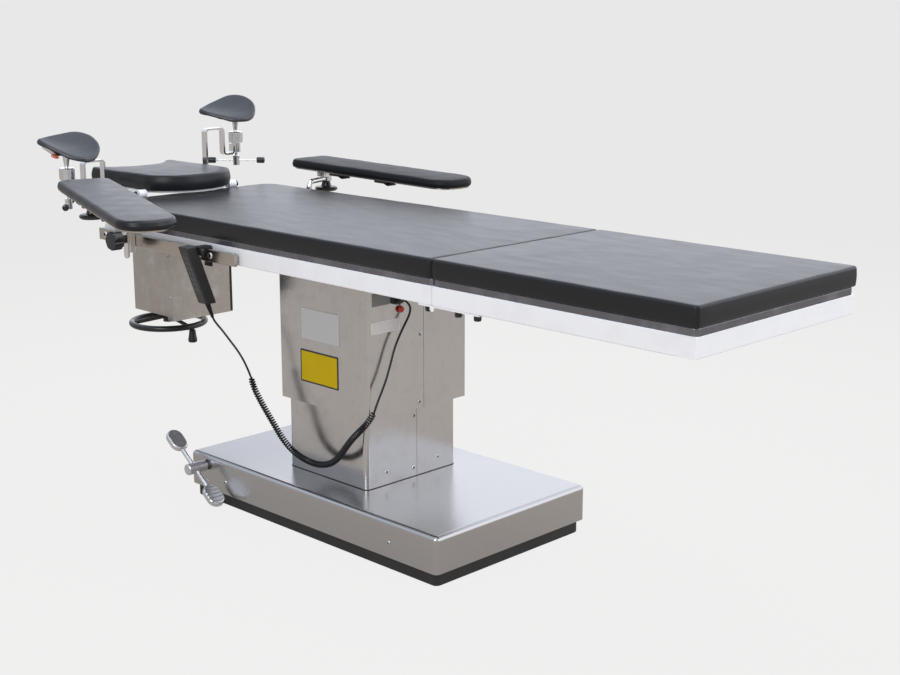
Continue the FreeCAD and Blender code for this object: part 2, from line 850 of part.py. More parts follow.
def handset_lead():
    return cord_tube("handset_lead", handset_lead_route, lead_diameter)


def curly_cord():
    return cord_tube("curly_cord", curl_route, curl_diameter)


def column_lead():
    return cord_tube("column_lead", column_lead_route, lead_diameter)


def cord_plug():
    """Angled plug: a round body that sits on the socket's face and points down its slope."""
    angle = math.radians(plug_lean)
    start = Vector(plug_x, plug_start_y, plug_start_z)
    axis = Vector(0, math.cos(angle), -math.sin(angle))
    body = cylinder(start, axis, plug_radius * 0.55, plug_length)
    collar = Part.makeCone(plug_radius * 0.8, plug_radius * 0.5, plug_length * 0.7, start, axis)
    face = shroud_foot_face_x + socket_face_depth
    foot = cylinder(Vector(face, socket_y, socket_z), ALONG, plug_radius, plug_x - face + 2)
    return body.fuse([collar, foot]).removeSplitter()


# Table frame

def beam(x0, x1, y0, y1, axis, start_cap=0.0, end_cap=0.0):
    """Rectangular steel tube along one axis; a cap closes an end."""
    outer = box(x0, x1, y0, y1, frame_bottom_z, beam_top_z)
    outer = outer.makeFillet(beam_corner_radius, edges_along(outer, axis))
    wall = beam_wall
    low = frame_bottom_z + wall
    high = beam_top_z - wall
    if axis is ALONG:
        inner = box(x0 + start_cap, x1 - end_cap, y0 + wall, y1 - wall, low, high)
    else:
        inner = box(x0 + wall, x1 - wall, y0 + start_cap, y1 - end_cap, low, high)
    return outer.cut(inner)


def side_beams():
    pair = []
    for side in (-1, 1):
        inner = min(side * frame_half_width, side * beam_inner_y)
        pair.append(beam(frame_head_x, back_end_x, inner, inner + beam_width, ALONG, start_cap=beam_wall))
    return group(pair)


def hinge_leaves(towards):
    """Two hinge halves under a cross beam, their knuckles on the leg section's axis."""
    halves = []
    is_leg = towards > 0
    bolts = hinge_leg_bolts if is_leg else hinge_back_bolts
    edge = section_joint_x + towards * section_gap / 2
    far = edge + towards * (bolts[-1] + hinge_bolt_margin)
    knuckle_radius = hinge_pin_radius + hinge_wall
    reach = section_joint_x + towards * knuckle_radius
    third = hinge_leaf_width / 3
    for side in (-1, 1):
        start = side * hinge_offset_y - hinge_leaf_width / 2
        outer = [(start, third), (start + 2 * third, third)]
        middle = [(start + third, third)]
        own, other = (middle, outer) if is_leg else (outer, middle)
        shape = box(min(edge, far), max(edge, far), start, start + hinge_leaf_width,
                    frame_bottom_z - hinge_leaf, frame_bottom_z)
        for reach_x in bolts:
            bolt = cylinder(Vector(section_joint_x + towards * reach_x, side * hinge_offset_y,
                                   frame_bottom_z - hinge_leaf), -UP, hinge_bolt_radius, hinge_bolt_height)
            shape = shape.fuse(bolt)
        for y, length in other:
            space = cylinder(Vector(section_joint_x, y - hinge_play, leg_axis_z), ACROSS,
                             knuckle_radius + hinge_play, length + 2 * hinge_play)
            shape = shape.cut(space)
        for y, length in own:
            low = y + hinge_play if is_leg else y
            span = length - 2 * hinge_play if is_leg else length
            knuckle = cylinder(Vector(section_joint_x, low, leg_axis_z), ACROSS, knuckle_radius, span)
            web = box(min(section_joint_x, reach), max(section_joint_x, reach), low, low + span,
                      leg_axis_z, frame_bottom_z)
            web = web.cut(box(min(edge, 2 * section_joint_x - edge), max(edge, 2 * section_joint_x - edge),
                              low, low + span, frame_bottom_z - 1, frame_bottom_z))
            shape = shape.fuse([knuckle, web])
        if is_leg:
            shape = shape.cut(cylinder(Vector(section_joint_x, start, leg_axis_z), ACROSS,
                                       hinge_pin_radius + running_fit, hinge_leaf_width))
        else:
            shape = shape.fuse(cylinder(Vector(section_joint_x, start, leg_axis_z), ACROSS,
                                        hinge_pin_radius, hinge_leaf_width))
        halves.append(shape.removeSplitter())
    return halves


def cross_beams():
    """Head end beam, and the beam at the leg section's joint with its half of the hinges."""
    head = beam(frame_head_x, frame_head_x + cross_beam_width, -beam_inner_y, beam_inner_y, ACROSS)
    joint = beam(back_end_x - cross_beam_width, back_end_x, -beam_inner_y, beam_inner_y, ACROSS)
    return group([head, joint] + hinge_leaves(-1))


def tilt_shaft():
    shaft = cylinder(Vector(tilt_x, -beam_inner_y, tilt_z), ACROSS, tilt_shaft_radius, 2 * beam_inner_y)
    for side in (-1, 1):
        start = min(side * beam_inner_y, side * (beam_inner_y - shaft_flange_thickness))
        flange = cylinder(Vector(tilt_x, start, tilt_z), ACROSS, shaft_flange_radius, shaft_flange_thickness)
        shaft = shaft.fuse(flange)
    return shaft.removeSplitter()


def pan(x0, x1):
    """Folded steel panel with turned down edges that stand on the beams."""
    side = frame_half_width - panel_inset
    outer = rounded_plate(x0, x1, -side, side, beam_top_z, panel_top_z, panel_corner_radius)
    outer = outer.makeFillet(panel_sheet, edges_at(outer, panel_top_z))
    inner = rounded_plate(x0 + panel_sheet, x1 - panel_sheet, -side + panel_sheet, side - panel_sheet,
                          beam_top_z, panel_top_z - panel_sheet, panel_corner_radius - panel_sheet)
    return outer.cut(inner)


def back_panel():
    return pan(frame_head_x, back_end_x)


def leg_panel():
    return pan(leg_start_x, frame_foot_x)


def cushion(x0, x1, head_radius, foot_radius):
    side = mattress_half_width
    points = [(x0, -side), (x1, -side), (x1, side), (x0, side)]
    top = mattress_bottom_z + mattress_thickness
    pad = prism(points, [head_radius, foot_radius, foot_radius, head_radius], mattress_bottom_z, top)
    return pad.makeFillet(mattress_edge_radius, edges_at(pad, top))


def back_mattress():
    end = section_joint_x - soft_gap
    return cushion(mattress_head_x, end, mattress_head_radius, mattress_corner_radius)


def leg_mattress():
    start = section_joint_x + soft_gap
    return cushion(start, mattress_foot_x, mattress_corner_radius, mattress_corner_radius)


def leg_frame():
    """Side beams, joint beam and foot beam of the leg section, with its half of the hinges."""
    joint = beam(leg_start_x, leg_start_x + cross_beam_width, -beam_inner_y, beam_inner_y, ACROSS)
    foot_start_x = frame_foot_x - cross_beam_width
    foot = beam(foot_start_x, frame_foot_x, -frame_half_width, frame_half_width, ACROSS,
                start_cap=beam_wall, end_cap=beam_wall)
    solids = [joint]
    for side in (-1, 1):
        drain = Vector(foot_start_x + cross_beam_width / 2, side * (frame_half_width - drain_inset),
                       frame_bottom_z)
        foot = foot.cut(cylinder(drain, UP, drain_radius, beam_wall + 1))
        inner = min(side * frame_half_width, side * beam_inner_y)
        solids.append(beam(leg_start_x, foot_start_x, inner, inner + beam_width, ALONG))
    return group(solids + [foot] + hinge_leaves(1))


def side_rails():
    """Accessory rail on each side, with the spacers that hold it off the frame."""
    rails = []
    z = rail_bottom_z + rail_height / 2
    for side in (-1, 1):
        inner = min(side * rail_inner_y, side * rail_outer_y)
        rail = box(frame_head_x, rail_foot_x, inner, inner + rail_thickness, rail_bottom_z, rail_top_z)
        rail = rail.makeFillet(rail_end_radius, rail.Edges)
        start = min(side * frame_half_width, side * rail_inner_y)
        for x in spacer_places:
            rail = rail.fuse(cylinder(Vector(x, start, z), ACROSS, spacer_radius, rail_gap))
        rails.append(rail)
    return group(rails)


# Head section drive

def gearbox_housing():
    """Sheet steel housing, open towards the foot end, with a guide plate on top."""
    outer = box(gearbox_head_x, gearbox_foot_x, -gearbox_half_width, gearbox_half_width,
                gearbox_bottom_z, gearbox_top_z)
    edges = [e for e in edges_along(outer, UP) if e.BoundBox.XMax < gearbox_head_x + 1]
    outer = outer.makeFillet(gearbox_corner_radius, edges)
    inner = box(gearbox_head_x + gearbox_wall, gearbox_foot_x, -gearbox_half_width + gearbox_wall,
                gearbox_half_width - gearbox_wall, gearbox_bottom_z + gearbox_wall,
                gearbox_top_z - gearbox_top_plate)
    housing = outer.cut(inner)
    housing = housing.cut(cylinder(Vector(wheel_x, wheel_y, gearbox_bottom_z - 1), UP,
                                   screw_radius + running_fit, gearbox_wall + 2))
    for side in (-1, 1):
        housing = housing.cut(cylinder(Vector(carrier_post_x, side * carrier_post_y, gearbox_top_z), -UP,
                                       carrier_post_radius + running_fit, gearbox_top_plate))
    return housing


def gearbox_cover():
    """Foot side cover; its side flanges wrap the housing and hang a little lower."""
    bottom = gearbox_bottom_z - gearbox_cover_drop
    side = gearbox_half_width + gearbox_flange_sheet
    plate = box(gearbox_foot_x, gearbox_foot_x + gearbox_wall, -side, side, bottom, gearbox_top_z)
    cover = plate
    for y in (-side, gearbox_half_width):
        cover = cover.fuse(box(gearbox_foot_x - gearbox_flange, gearbox_foot_x + gearbox_wall,
                               y, y + gearbox_flange_sheet, bottom, gearbox_top_z))
    return cover.removeSplitter()


def grip_place():
    """Top of the grip's pin, on the underside of the wheel's rim."""
    angle = math.radians(grip_turn)
    return Vector(wheel_x + wheel_radius * math.cos(angle), wheel_y + wheel_radius * math.sin(angle),
                  wheel_rim_z - wheel_rim_radius)


def handwheel():
    """Round rim, dished spokes, hub and the pin that the grip turns on."""
    centre = Vector(wheel_x, wheel_y, wheel_rim_z)
    rim = Part.makeTorus(wheel_radius, wheel_rim_radius, centre, UP)
    hub_top = gearbox_bottom_z - 2
    hub_bottom = hub_top - wheel_hub_height
    hub = turned([(screw_radius, hub_bottom), (wheel_hub_radius, hub_bottom),
                  (wheel_hub_radius, hub_top - 6), (wheel_hub_radius - 3, hub_top),
                  (screw_radius, hub_top)], wheel_x, wheel_y)
    solid_hub = cylinder(Vector(wheel_x, wheel_y, hub_bottom), UP, screw_radius + 1, wheel_hub_height)
    wheel = rim.fuse(hub)
    for i in range(wheel_spokes):
        angle = 2 * math.pi * i / wheel_spokes
        out = Vector(math.cos(angle), math.sin(angle), 0)
        start = Vector(wheel_x, wheel_y, hub_bottom + wheel_hub_height / 2) + out * (screw_radius + 1)
        end = centre + out * wheel_radius
        spoke = cylinder(start, end - start, wheel_spoke_radius, (end - start).Length)
        wheel = wheel.fuse(spoke.cut(solid_hub))
    place = grip_place()
    pin = cylinder(place + UP * 2, -UP, grip_pin_radius, grip_length + grip_top_gap)
    bore = cylinder(Vector(wheel_x, wheel_y, hub_bottom - 1), UP, screw_radius, wheel_hub_height + 2)
    return wheel.fuse(pin).cut(bore).removeSplitter()


def lead_screw():
    bottom = gearbox_bottom_z - 2 - wheel_hub_height
    top = gearbox_top_z - gearbox_top_plate - screw_end_gap
    screw = cylinder(Vector(wheel_x, wheel_y, bottom), UP, screw_radius, top - bottom)
    return screw.makeChamfer(1.5, edges_at(screw, bottom) + edges_at(screw, top))


def wheel_grip():
    place = grip_place()
    top = place.z - grip_top_gap
    bottom = top - grip_length
    mid = (top + bottom) / 2
    bore = grip_pin_radius + running_fit
    points = [(bore, bottom), (grip_bottom_radius - 2, bottom), (grip_bottom_radius, bottom + 3),
              (grip_bottom_radius, bottom + 8), (grip_top_radius + 1, mid + 4), (grip_top_radius, top - 2),
              (grip_top_radius - 1.5, top), (bore, top)]
    return turned(points, place.x, place.y)


def head_carrier():
    """Nut on the lead screw, two guide posts, top plate and the hinge blocks."""
    margin = carrier_nut_margin
    nut = box(carrier_post_x - margin, wheel_x + margin, -carrier_post_y - margin, carrier_post_y + margin,
              carrier_nut_z, carrier_nut_z + carrier_nut_height)
    nut = nut.cut(cylinder(Vector(wheel_x, wheel_y, carrier_nut_z), UP, screw_radius + running_fit,
                           carrier_nut_height))
    carrier = nut
    for side in (-1, 1):
        carrier = carrier.fuse(cylinder(Vector(carrier_post_x, side * carrier_post_y, carrier_nut_z + 1), UP,
                                        carrier_post_radius, carrier_plate_z - carrier_nut_z))
    plate = rounded_plate(carrier_plate_head_x, carrier_plate_foot_x, -carrier_plate_half_width,
                          carrier_plate_half_width, carrier_plate_z, carrier_plate_z + carrier_plate, 6)
    carrier = carrier.fuse(plate)
    for side in (-1, 1):
        inner = side * hinge_block_y - hinge_block_width / 2
        leg = box(head_axis_x - hinge_block_radius, carrier_plate_foot_x, inner,
                  inner + hinge_block_width, carrier_plate_z + carrier_plate / 2, head_axis_z)
        eye = cylinder(Vector(head_axis_x, inner, head_axis_z), ACROSS, hinge_block_radius,
                       hinge_block_width)
        carrier = carrier.fuse([leg, eye])
    reach = hinge_block_y + hinge_block_width
    bore = cylinder(Vector(head_axis_x, -reach, head_axis_z), ACROSS, head_pin_radius + running_fit, 2 * reach)
    return carrier.cut(bore).removeSplitter()


def crescent(inset, z0, z1):
    """Head pad outline: bulged towards the foot end, hollowed between two horns at the head end."""
    side = head_pad_half_width - inset
    horn = head_pad_half_width - head_pad_horn_width + inset / 2
    foot = head_pad_foot_x - inset
    head = head_pad_head_x + inset
    bulge = Part.Arc(Vector(foot, -side, z0), Vector(head_pad_bulge_x - inset, 0, z0), Vector(foot, side, z0))
    notch = Part.Arc(Vector(head, horn, z0), Vector(head_pad_notch_x + inset, 0, z0), Vector(head, -horn, z0))
    corners = [Vector(foot, side, z0), Vector(head, side, z0), Vector(head, horn, z0),
               Vector(head, -horn, z0), Vector(head, -side, z0), Vector(foot, -side, z0)]
    left = [Part.LineSegment(a, b).toShape() for a, b in zip(corners[:2], corners[1:3])]
    right = [Part.LineSegment(a, b).toShape() for a, b in zip(corners[3:5], corners[4:])]
    wire = Part.Wire([bulge.toShape()] + left + [notch.toShape()] + right)
    solid = Part.Face(wire).extrude(Vector(0, 0, z1 - z0))
    rounded = [e for e in edges_along(solid, UP) if abs(e.BoundBox.YMin) > side - 1]
    return solid.makeFillet(head_pad_corner_radius - inset / 2, rounded)


def head_pad():
    top = head_pad_bottom_z + head_pad_thickness
    pad = crescent(0, head_pad_bottom_z, top)
    return pad.makeFillet(head_pad_edge_radius, edges_at(pad, top))


def head_plate():
    """Pad plate with hinge lugs and pins, and a socket each side for a wrist rest's bar."""
    plate = crescent(head_plate_inset, head_plate_bottom_z, head_plate_top_z)
    shape = plate
    lug_outer = hinge_block_y - hinge_block_width / 2 - head_lug_gap
    for side in (-1, 1):
        inner = min(side * lug_outer, side * (lug_outer - head_lug_thickness))
        low = head_axis_z - head_lug_drop
        slope = [(head_axis_x - head_tab_length, head_plate_top_z), (head_axis_x, head_plate_top_z),
                 (head_axis_x, low), (head_axis_x - hinge_block_radius, low),
                 (head_axis_x - head_tab_length, head_plate_bottom_z)]
        web = profile_across(slope, inner, inner + head_lug_thickness)
        plate_edge = head_pad_half_width - head_plate_inset - 20
        tab = box(head_axis_x - head_tab_length, head_axis_x - hinge_block_radius - 3,
                  min(side * plate_edge, side * lug_outer), max(side * plate_edge, side * lug_outer),
                  head_plate_bottom_z, head_plate_top_z)
        eye = cylinder(Vector(head_axis_x, inner, head_axis_z), ACROSS, hinge_block_radius,
                       head_lug_thickness)
        pin_in = lug_outer - head_lug_thickness
        pin_out = hinge_block_y + head_pin_end
        pin = cylinder(Vector(head_axis_x, min(side * pin_in, side * pin_out), head_axis_z), ACROSS,
                       head_pin_radius, pin_out - pin_in)
        shape = shape.fuse([tab, web, eye, pin])
        arm_in = head_pad_half_width - head_plate_inset - 20
        arm_out = rest_inner_y + rest_bar_thickness / 2 + socket_wall
        arm = box(rest_x - socket_length / 2, rest_x + socket_length / 2, min(side * arm_in, side * arm_out),
                  max(side * arm_in, side * arm_out), head_plate_bottom_z, head_plate_top_z)
        block_in = rest_inner_y - rest_bar_thickness / 2 - socket_wall
        block = box(rest_x - socket_length / 2, rest_x + socket_length / 2,
                    min(side * block_in, side * arm_out), max(side * block_in, side * arm_out),
                    head_plate_top_z - socket_depth, head_plate_top_z)
        block = block.makeFillet(3, edges_along(block, UP))
        shape = shape.fuse([arm, block])
        slot = box(rest_x - rest_bar_width / 2 - running_fit, rest_x + rest_bar_width / 2 + running_fit,
                   side * rest_inner_y - rest_bar_thickness / 2 - running_fit,
                   side * rest_inner_y + rest_bar_thickness / 2 + running_fit,
                   head_plate_top_z - socket_depth - 1, head_plate_top_z + 1)
        shape = shape.cut(slot)
    return shape.removeSplitter()


# Wrist rests

def flat_bar(points, width, thickness, bend, x):
    """Flat bar bent in the YZ plane: the centre line offset both ways, corners rounded."""
    edges = []
    last = points[0]
    for before, corner, after in zip(points, points[1:], points[2:]):
        back = before - corner
        ahead = after - corner
        back.normalize()
        ahead.normalize()
        middle = back + ahead
        middle.normalize()
        half = back.getAngle(ahead) / 2
        reach = bend / math.tan(half)
        first = corner + back * reach
        end = corner + ahead * reach
        crown = corner + middle * (bend / math.sin(half) - bend)
        edges.append(Part.LineSegment(last, first).toShape())
        edges.append(Part.Arc(first, crown, end).toShape())
        last = end
    edges.append(Part.LineSegment(last, points[-1]).toShape())
    path = Part.Wire(edges)
    start = points[0]
    half_w = width / 2
    half_t = thickness / 2
    corners = [Vector(x - half_w, start.y - half_t, start.z), Vector(x + half_w, start.y - half_t, start.z),
               Vector(x + half_w, start.y + half_t, start.z), Vector(x - half_w, start.y + half_t, start.z)]
    section = Part.makePolygon(corners + corners[:1])
    return path.makePipeShell([section], True, False)


def rest_bar(side_name):
    """S-shaped flat bar from the head plate's socket to the sleeve of the pad's post."""
    side = RIGHT_AND_LEFT[side_name]
    lift = rest_height[side_name]
    half = rest_bar_thickness / 2
    up_y = rest_pole_y - rest_sleeve_radius - half + 1
    high = rest_bar_top_z - half
    low = rest_bar_low_z + half
    places = [(rest_inner_y, rest_bar_foot_z), (rest_inner_y, high), (rest_outer_y, high),
              (rest_outer_y, low), (up_y, low), (up_y, rest_sleeve_top_z - 2)]
    points = [Vector(rest_x, y, z) for y, z in places]
    bar = flat_bar(points, rest_bar_width, rest_bar_thickness, rest_bar_bend, rest_x)
    bore = rest_spigot_radius + running_fit
    eye = rest_screw_radius + running_fit
    bottom = rest_sleeve_bottom_z
    top = rest_sleeve_top_z
    rim = rest_sleeve_radius
    sleeve = turned([(bore, bottom + 6), (eye, bottom + 6), (eye, bottom), (rim - 1, bottom),
                     (rim, bottom + 1), (rim, top), (bore, top)], rest_x, rest_pole_y)
    core = cylinder(Vector(rest_x, rest_pole_y, rest_sleeve_bottom_z), UP, rest_sleeve_radius - 1,
                    rest_sleeve_top_z - rest_sleeve_bottom_z)
    shape = sleeve.fuse(bar.cut(core)).removeSplitter()
    shape.translate(Vector(0, 0, lift))
    return mirror_side(shape, side)


def pad_placement(side_name):
    """Place of the pad: its local frame turned about the post and tilted."""
    side = RIGHT_AND_LEFT[side_name]
    z = (rest_sleeve_top_z + rest_collar_gap + rest_collar_height + rest_stem_height[side_name]
         + rest_height[side_name])
    turn = FreeCAD.Rotation(UP, rest_turn[side_name])
    tilt = FreeCAD.Rotation(ACROSS, rest_pad_tilt)
    return FreeCAD.Placement(Vector(rest_x, side * rest_pole_y, z), turn.multiply(tilt))


def square_with_pads(shape, side_name):
    """The pads stay square to the table, whichever way their post is turned."""
    shape.translate(Vector(rest_pad_shift[side_name], 0, 0))
    return shape.rotate(Vector(0, 0, 0), UP, -rest_turn[side_name])


def rest_post(side_name):
    """Faceted collar, conical stem, spigot and the channel plate under the pad."""
    side = RIGHT_AND_LEFT[side_name]
    y = side * rest_pole_y
    bottom = rest_sleeve_top_z + rest_collar_gap + rest_height[side_name]
    collar_top = bottom + rest_collar_height
    corners = []
    for i in range(rest_collar_sides):
        angle = 2 * math.pi * i / rest_collar_sides
        corners.append((rest_x + rest_collar_radius * math.cos(angle),
                        y + rest_collar_radius * math.sin(angle)))
    collar = prism(corners, [0] * rest_collar_sides, bottom, collar_top)
    collar = collar.makeChamfer(2, edges_at(collar, collar_top) + edges_at(collar, bottom))
    spigot_length = rest_sleeve_top_z - rest_sleeve_bottom_z - 8
    spigot = cylinder(Vector(rest_x, y, bottom + 1), -UP, rest_spigot_radius, spigot_length)
    stem = Part.makeCone(rest_stem_foot_radius, rest_stem_head_radius, rest_stem_height[side_name],
                         Vector(rest_x, y, collar_top), UP)
    head = -rest_plate_head_reach
    foot = rest_plate_foot_reach - rest_pad_shift[side_name]
    side_half = rest_plate_width / 2
    channel = box(head, foot, -side_half, side_half, -rest_plate_thickness, 0)
    for edge in (-side_half, side_half - rest_plate_thickness):
        channel = channel.fuse(box(head, foot, edge, edge + rest_plate_thickness, -rest_plate_lip, 0))
    channel = channel.removeSplitter()
    pin = cylinder(Vector(rest_lever_place, -side_half - rest_lever_width / 2, -rest_plate_lip + 3),
                   ACROSS, rest_lever_pin_radius, rest_lever_width / 2 + 2)
    channel = channel.fuse(pin)
    channel = square_with_pads(channel, side_name)
    channel.Placement = pad_placement(side_name).multiply(channel.Placement)
    reach = rest_pad_length
    above = box(-reach, reach, -reach, reach, -rest_plate_thickness / 2, reach)
    above.Placement = pad_placement(side_name)
    return collar.fuse([spigot, stem.cut(above), channel]).removeSplitter()


def rest_pad(side_name):
    """Cushion with one sharp corner, three round ones and a shallow trough for the wrist."""
    half_l = rest_pad_length / 2
    half_w = rest_pad_width / 2
    bottom = soft_gap
    top = bottom + rest_pad_thickness
    pad = prism([(-half_l, -half_w), (half_l, -half_w), (half_l, half_w), (-half_l, half_w)],
                [rest_pad_tip_radius, rest_pad_side_radius, rest_pad_nose_radius, rest_pad_side_radius],
                bottom, top)
    pad = pad.makeFillet(rest_pad_edge_radius, edges_at(pad, top))
    radius = (half_w ** 2 + rest_pad_dish ** 2) / (2 * rest_pad_dish)
    trough = cylinder(Vector(-half_l - 1, 0, top + radius - rest_pad_dish), ALONG, radius, rest_pad_length + 2)
    pad = pad.cut(trough)
    pad = square_with_pads(pad, side_name)
    pad.Placement = pad_placement(side_name).multiply(pad.Placement)
    return pad


def rest_lever(side_name):
    """Wedge-shaped release lever on the pin at the channel's corner."""
    x = rest_lever_place
    z = -rest_plate_lip + 3
    y = -rest_plate_width / 2 - rest_lever_width / 2
    half_t = rest_lever_thickness / 2
    outline = [(x - 6, z - half_t), (x + rest_lever_length - 10, z - half_t + 3),
               (x + rest_lever_length - 6, z + half_t - 1), (x - 6, z + half_t)]
    lever = profile_across(outline, y, y + rest_lever_width / 2 - 0.3)
    lever = lever.cut(cylinder(Vector(x, y - 1, z), ACROSS, rest_lever_pin_radius + running_fit,
                               rest_lever_width))
    lever = square_with_pads(lever, side_name)
    lever.Placement = pad_placement(side_name).multiply(lever.Placement)
    return lever


def rest_t_handle(side_name):
    """Locking screw under the sleeve with its cross rod and end caps."""
    side = RIGHT_AND_LEFT[side_name]
    y = side * rest_pole_y
    top = rest_sleeve_bottom_z + rest_height[side_name] - rest_screw_slack[side_name]
    hub = cylinder(Vector(rest_x, y, top - 8), -UP, rest_hub_radius, rest_hub_height)
    hub = hub.makeChamfer(1, edges_at(hub, top - 8) + edges_at(hub, top - 8 - rest_hub_height))
    screw_top = rest_sleeve_bottom_z + rest_height[side_name] + rest_screw_reach
    screw = cylinder(Vector(rest_x, y, top - 9), UP, rest_screw_radius, screw_top - top + 9)
    middle = Vector(rest_x, y, top - 8 - rest_hub_height / 2)
    angle = math.radians(rest_rod_turn[side_name])
    out = Vector(math.cos(angle), math.sin(angle), 0)
    rod = cylinder(middle - out * (rest_rod_length / 2), out, rest_rod_radius, rest_rod_length)
    shape = hub.fuse([screw, rod])
    for end in (-1, 1):
        start = middle + out * end * (rest_rod_length / 2 - rest_cap_length / 2)
        cap = cylinder(start - out * (rest_cap_length / 2), out, rest_cap_radius, rest_cap_length)
        shape = shape.fuse(cap.makeFillet(2, [e for e in cap.Edges if e.Curve.TypeId == "Part::GeomCircle"]))
    return shape.removeSplitter()


# Arm boards

def arm_clamp(side_name):
    """Rail clamp with its hook and tongue, and the bent post that ends in an eye."""
    half = clamp_width / 2
    x0 = clamp_x - half
    x1 = clamp_x + half
    block = box(x0, x1, clamp_face_y, clamp_front_y, clamp_bottom_z, clamp_top_z)
    block = block.makeFillet(2, edges_along(block, UP))
    hook_back = rail_inner_y - clamp_face_gap - clamp_hook
    bridge = box(x0, x1, hook_back, clamp_face_y + 2, rail_top_z + clamp_face_gap, clamp_top_z)
    tail = box(x0, x1, hook_back, hook_back + clamp_hook, rail_top_z - clamp_hook_drop, clamp_top_z)
    tongue_half = clamp_tongue_width / 2
    low = clamp_bottom_z - clamp_tongue_drop + tongue_half
    tongue = box(clamp_x - tongue_half, clamp_x + tongue_half, clamp_front_y,
                 clamp_front_y + clamp_tongue_thickness, low, clamp_top_z)
    tip = cylinder(Vector(clamp_x, clamp_front_y, low), ACROSS, tongue_half, clamp_tongue_thickness)
    bore = cylinder(Vector(clamp_x, clamp_face_y - 1, star_z), ACROSS, star_screw_radius + running_fit,
                    clamp_depth + clamp_tongue_thickness + 2)
    body = block.fuse([bridge, tail, tongue, tip]).cut(bore)
    eye_mid = eye_z + eye_height / 2
    start = Vector(clamp_x, post_y, clamp_top_z - 2)
    corner = Vector(clamp_x, post_y, eye_mid)
    end = Vector(pivot_x, pivot_y, eye_mid)
    path = bent_post(start, corner, end)
    ring = Part.Wire([Part.Circle(start, UP, post_radius).toShape()])
    post = path.makePipeShell([ring], True, False)
    eye = cylinder(Vector(pivot_x, pivot_y, eye_z), UP, eye_radius, eye_height)
    hole = cylinder(Vector(pivot_x, pivot_y, eye_z - 20), UP, disc_screw_radius + running_fit, 60)
    over = cylinder(Vector(pivot_x, pivot_y, eye_top_z), UP, eye_radius + 30, 20)
    under = cylinder(Vector(pivot_x, pivot_y, eye_z), -UP, eye_radius + 8, 20)
    shape = body.fuse([post.cut(over).cut(under), eye]).cut(hole).removeSplitter()
    return mirror_side(shape, RIGHT_AND_LEFT[side_name])


def bent_post(start, corner, end):
    back = start - corner
    ahead = end - corner
    back.normalize()
    ahead.normalize()
    half = back.getAngle(ahead) / 2
    reach = post_bend_radius / math.tan(half)
    middle = back + ahead
    middle.normalize()
    first = corner + back * reach
    last = corner + ahead * reach
    crown = corner + middle * (post_bend_radius / math.sin(half) - post_bend_radius)
    edges = [Part.LineSegment(start, first).toShape(), Part.Arc(first, crown, last).toShape(),
             Part.LineSegment(last, end).toShape()]
    return Part.Wire(edges)


def lobed_knob(radius, lobe_radius, lobes, height):
    """Disc with finger hollows round its edge, standing on the origin."""
    disc = cylinder(Vector(0, 0, 0), UP, radius, height)
    disc = disc.makeFillet(3, [e for e in disc.Edges if e.Curve.TypeId == "Part::GeomCircle"])
    for i in range(lobes):
        angle = 2 * math.pi * i / lobes
        at = Vector((radius + lobe_radius * 0.45) * math.cos(angle),
                    (radius + lobe_radius * 0.45) * math.sin(angle), -1)
        disc = disc.cut(cylinder(at, UP, lobe_radius, height + 2))
    return disc


def star_knob(side_name):
    """Star knob whose screw presses the clamp's block against the rail."""
    knob = lobed_knob(star_radius, star_lobe_radius, star_lobes, star_thickness)
    neck = cylinder(Vector(0, 0, -star_neck_length), UP, star_neck_radius, star_neck_length + 1)
    reach = star_face_y - rail_outer_y - clamp_face_gap / 2
    screw = cylinder(Vector(0, 0, -star_neck_length - reach), UP, star_screw_radius, reach + 3)
    knob = knob.fuse([neck, screw]).removeSplitter()
    knob.rotate(Vector(0, 0, 0), ALONG, -90)
    knob.translate(Vector(clamp_x, star_face_y + star_neck_length, star_z))
    return mirror_side(knob, RIGHT_AND_LEFT[side_name])


def disc_knob(side_name):
    """Round clamping knob under the eye; its screw runs up into the pivot block."""
    top = eye_z - block_gap
    neck_bottom = top - disc_neck_length
    bottom = neck_bottom - disc_thickness
    points = [(0, bottom), (disc_radius - 4, bottom), (disc_radius, bottom + 4),
              (disc_radius, bottom + disc_thickness - 5), (disc_radius - 3, bottom + disc_thickness - 2),
              (disc_neck_radius + 2, neck_bottom), (disc_neck_radius - 1, top - 3), (disc_neck_radius, top),
              (disc_screw_radius, top), (disc_screw_radius, block_bottom_z + 5), (0, block_bottom_z + 5)]
    return mirror_side(turned(points, pivot_x, pivot_y), RIGHT_AND_LEFT[side_name])


def board_placement(side_name, pitched):
    side = RIGHT_AND_LEFT[side_name]
    turn = FreeCAD.Rotation(UP, board_turn[side_name])
    if pitched:
        turn = turn.multiply(FreeCAD.Rotation(ACROSS, board_pitch[side_name]))
    return FreeCAD.Placement(Vector(pivot_x, side * pivot_y, pitch_z), turn)


def pivot_block(side_name):
    """Swivelling block on the eye with the cross pin that the board tips on."""
    low = block_bottom_z - pitch_z
    high = block_top_z - pitch_z
    lug_span = block_width / 2 + board_lug_gap + board_lug_thickness + 1
    block = rounded_plate(-block_half_length, block_half_length, -block_width / 2, block_width / 2,
                          low, high, 5)
    pin = cylinder(Vector(0, -lug_span, 0), ACROSS, pitch_pin_radius, 2 * lug_span)
    hole = cylinder(Vector(0, 0, low), UP, disc_screw_radius + running_fit, 5.5)
    block = block.fuse(pin).cut(hole).removeSplitter()
    block.Placement = board_placement(side_name, False)
    return block


def board_outline(inset, z0, z1):
    half = board_width / 2 - inset
    head = -board_head_length + inset
    foot = board_foot_length - inset
    points = [(head, -half), (foot, -half), (foot, half), (head, half)]
    radii = [board_head_radius, board_foot_radius - inset, board_foot_radius - inset, board_head_radius]
    return prism(points, radii, z0, z1)


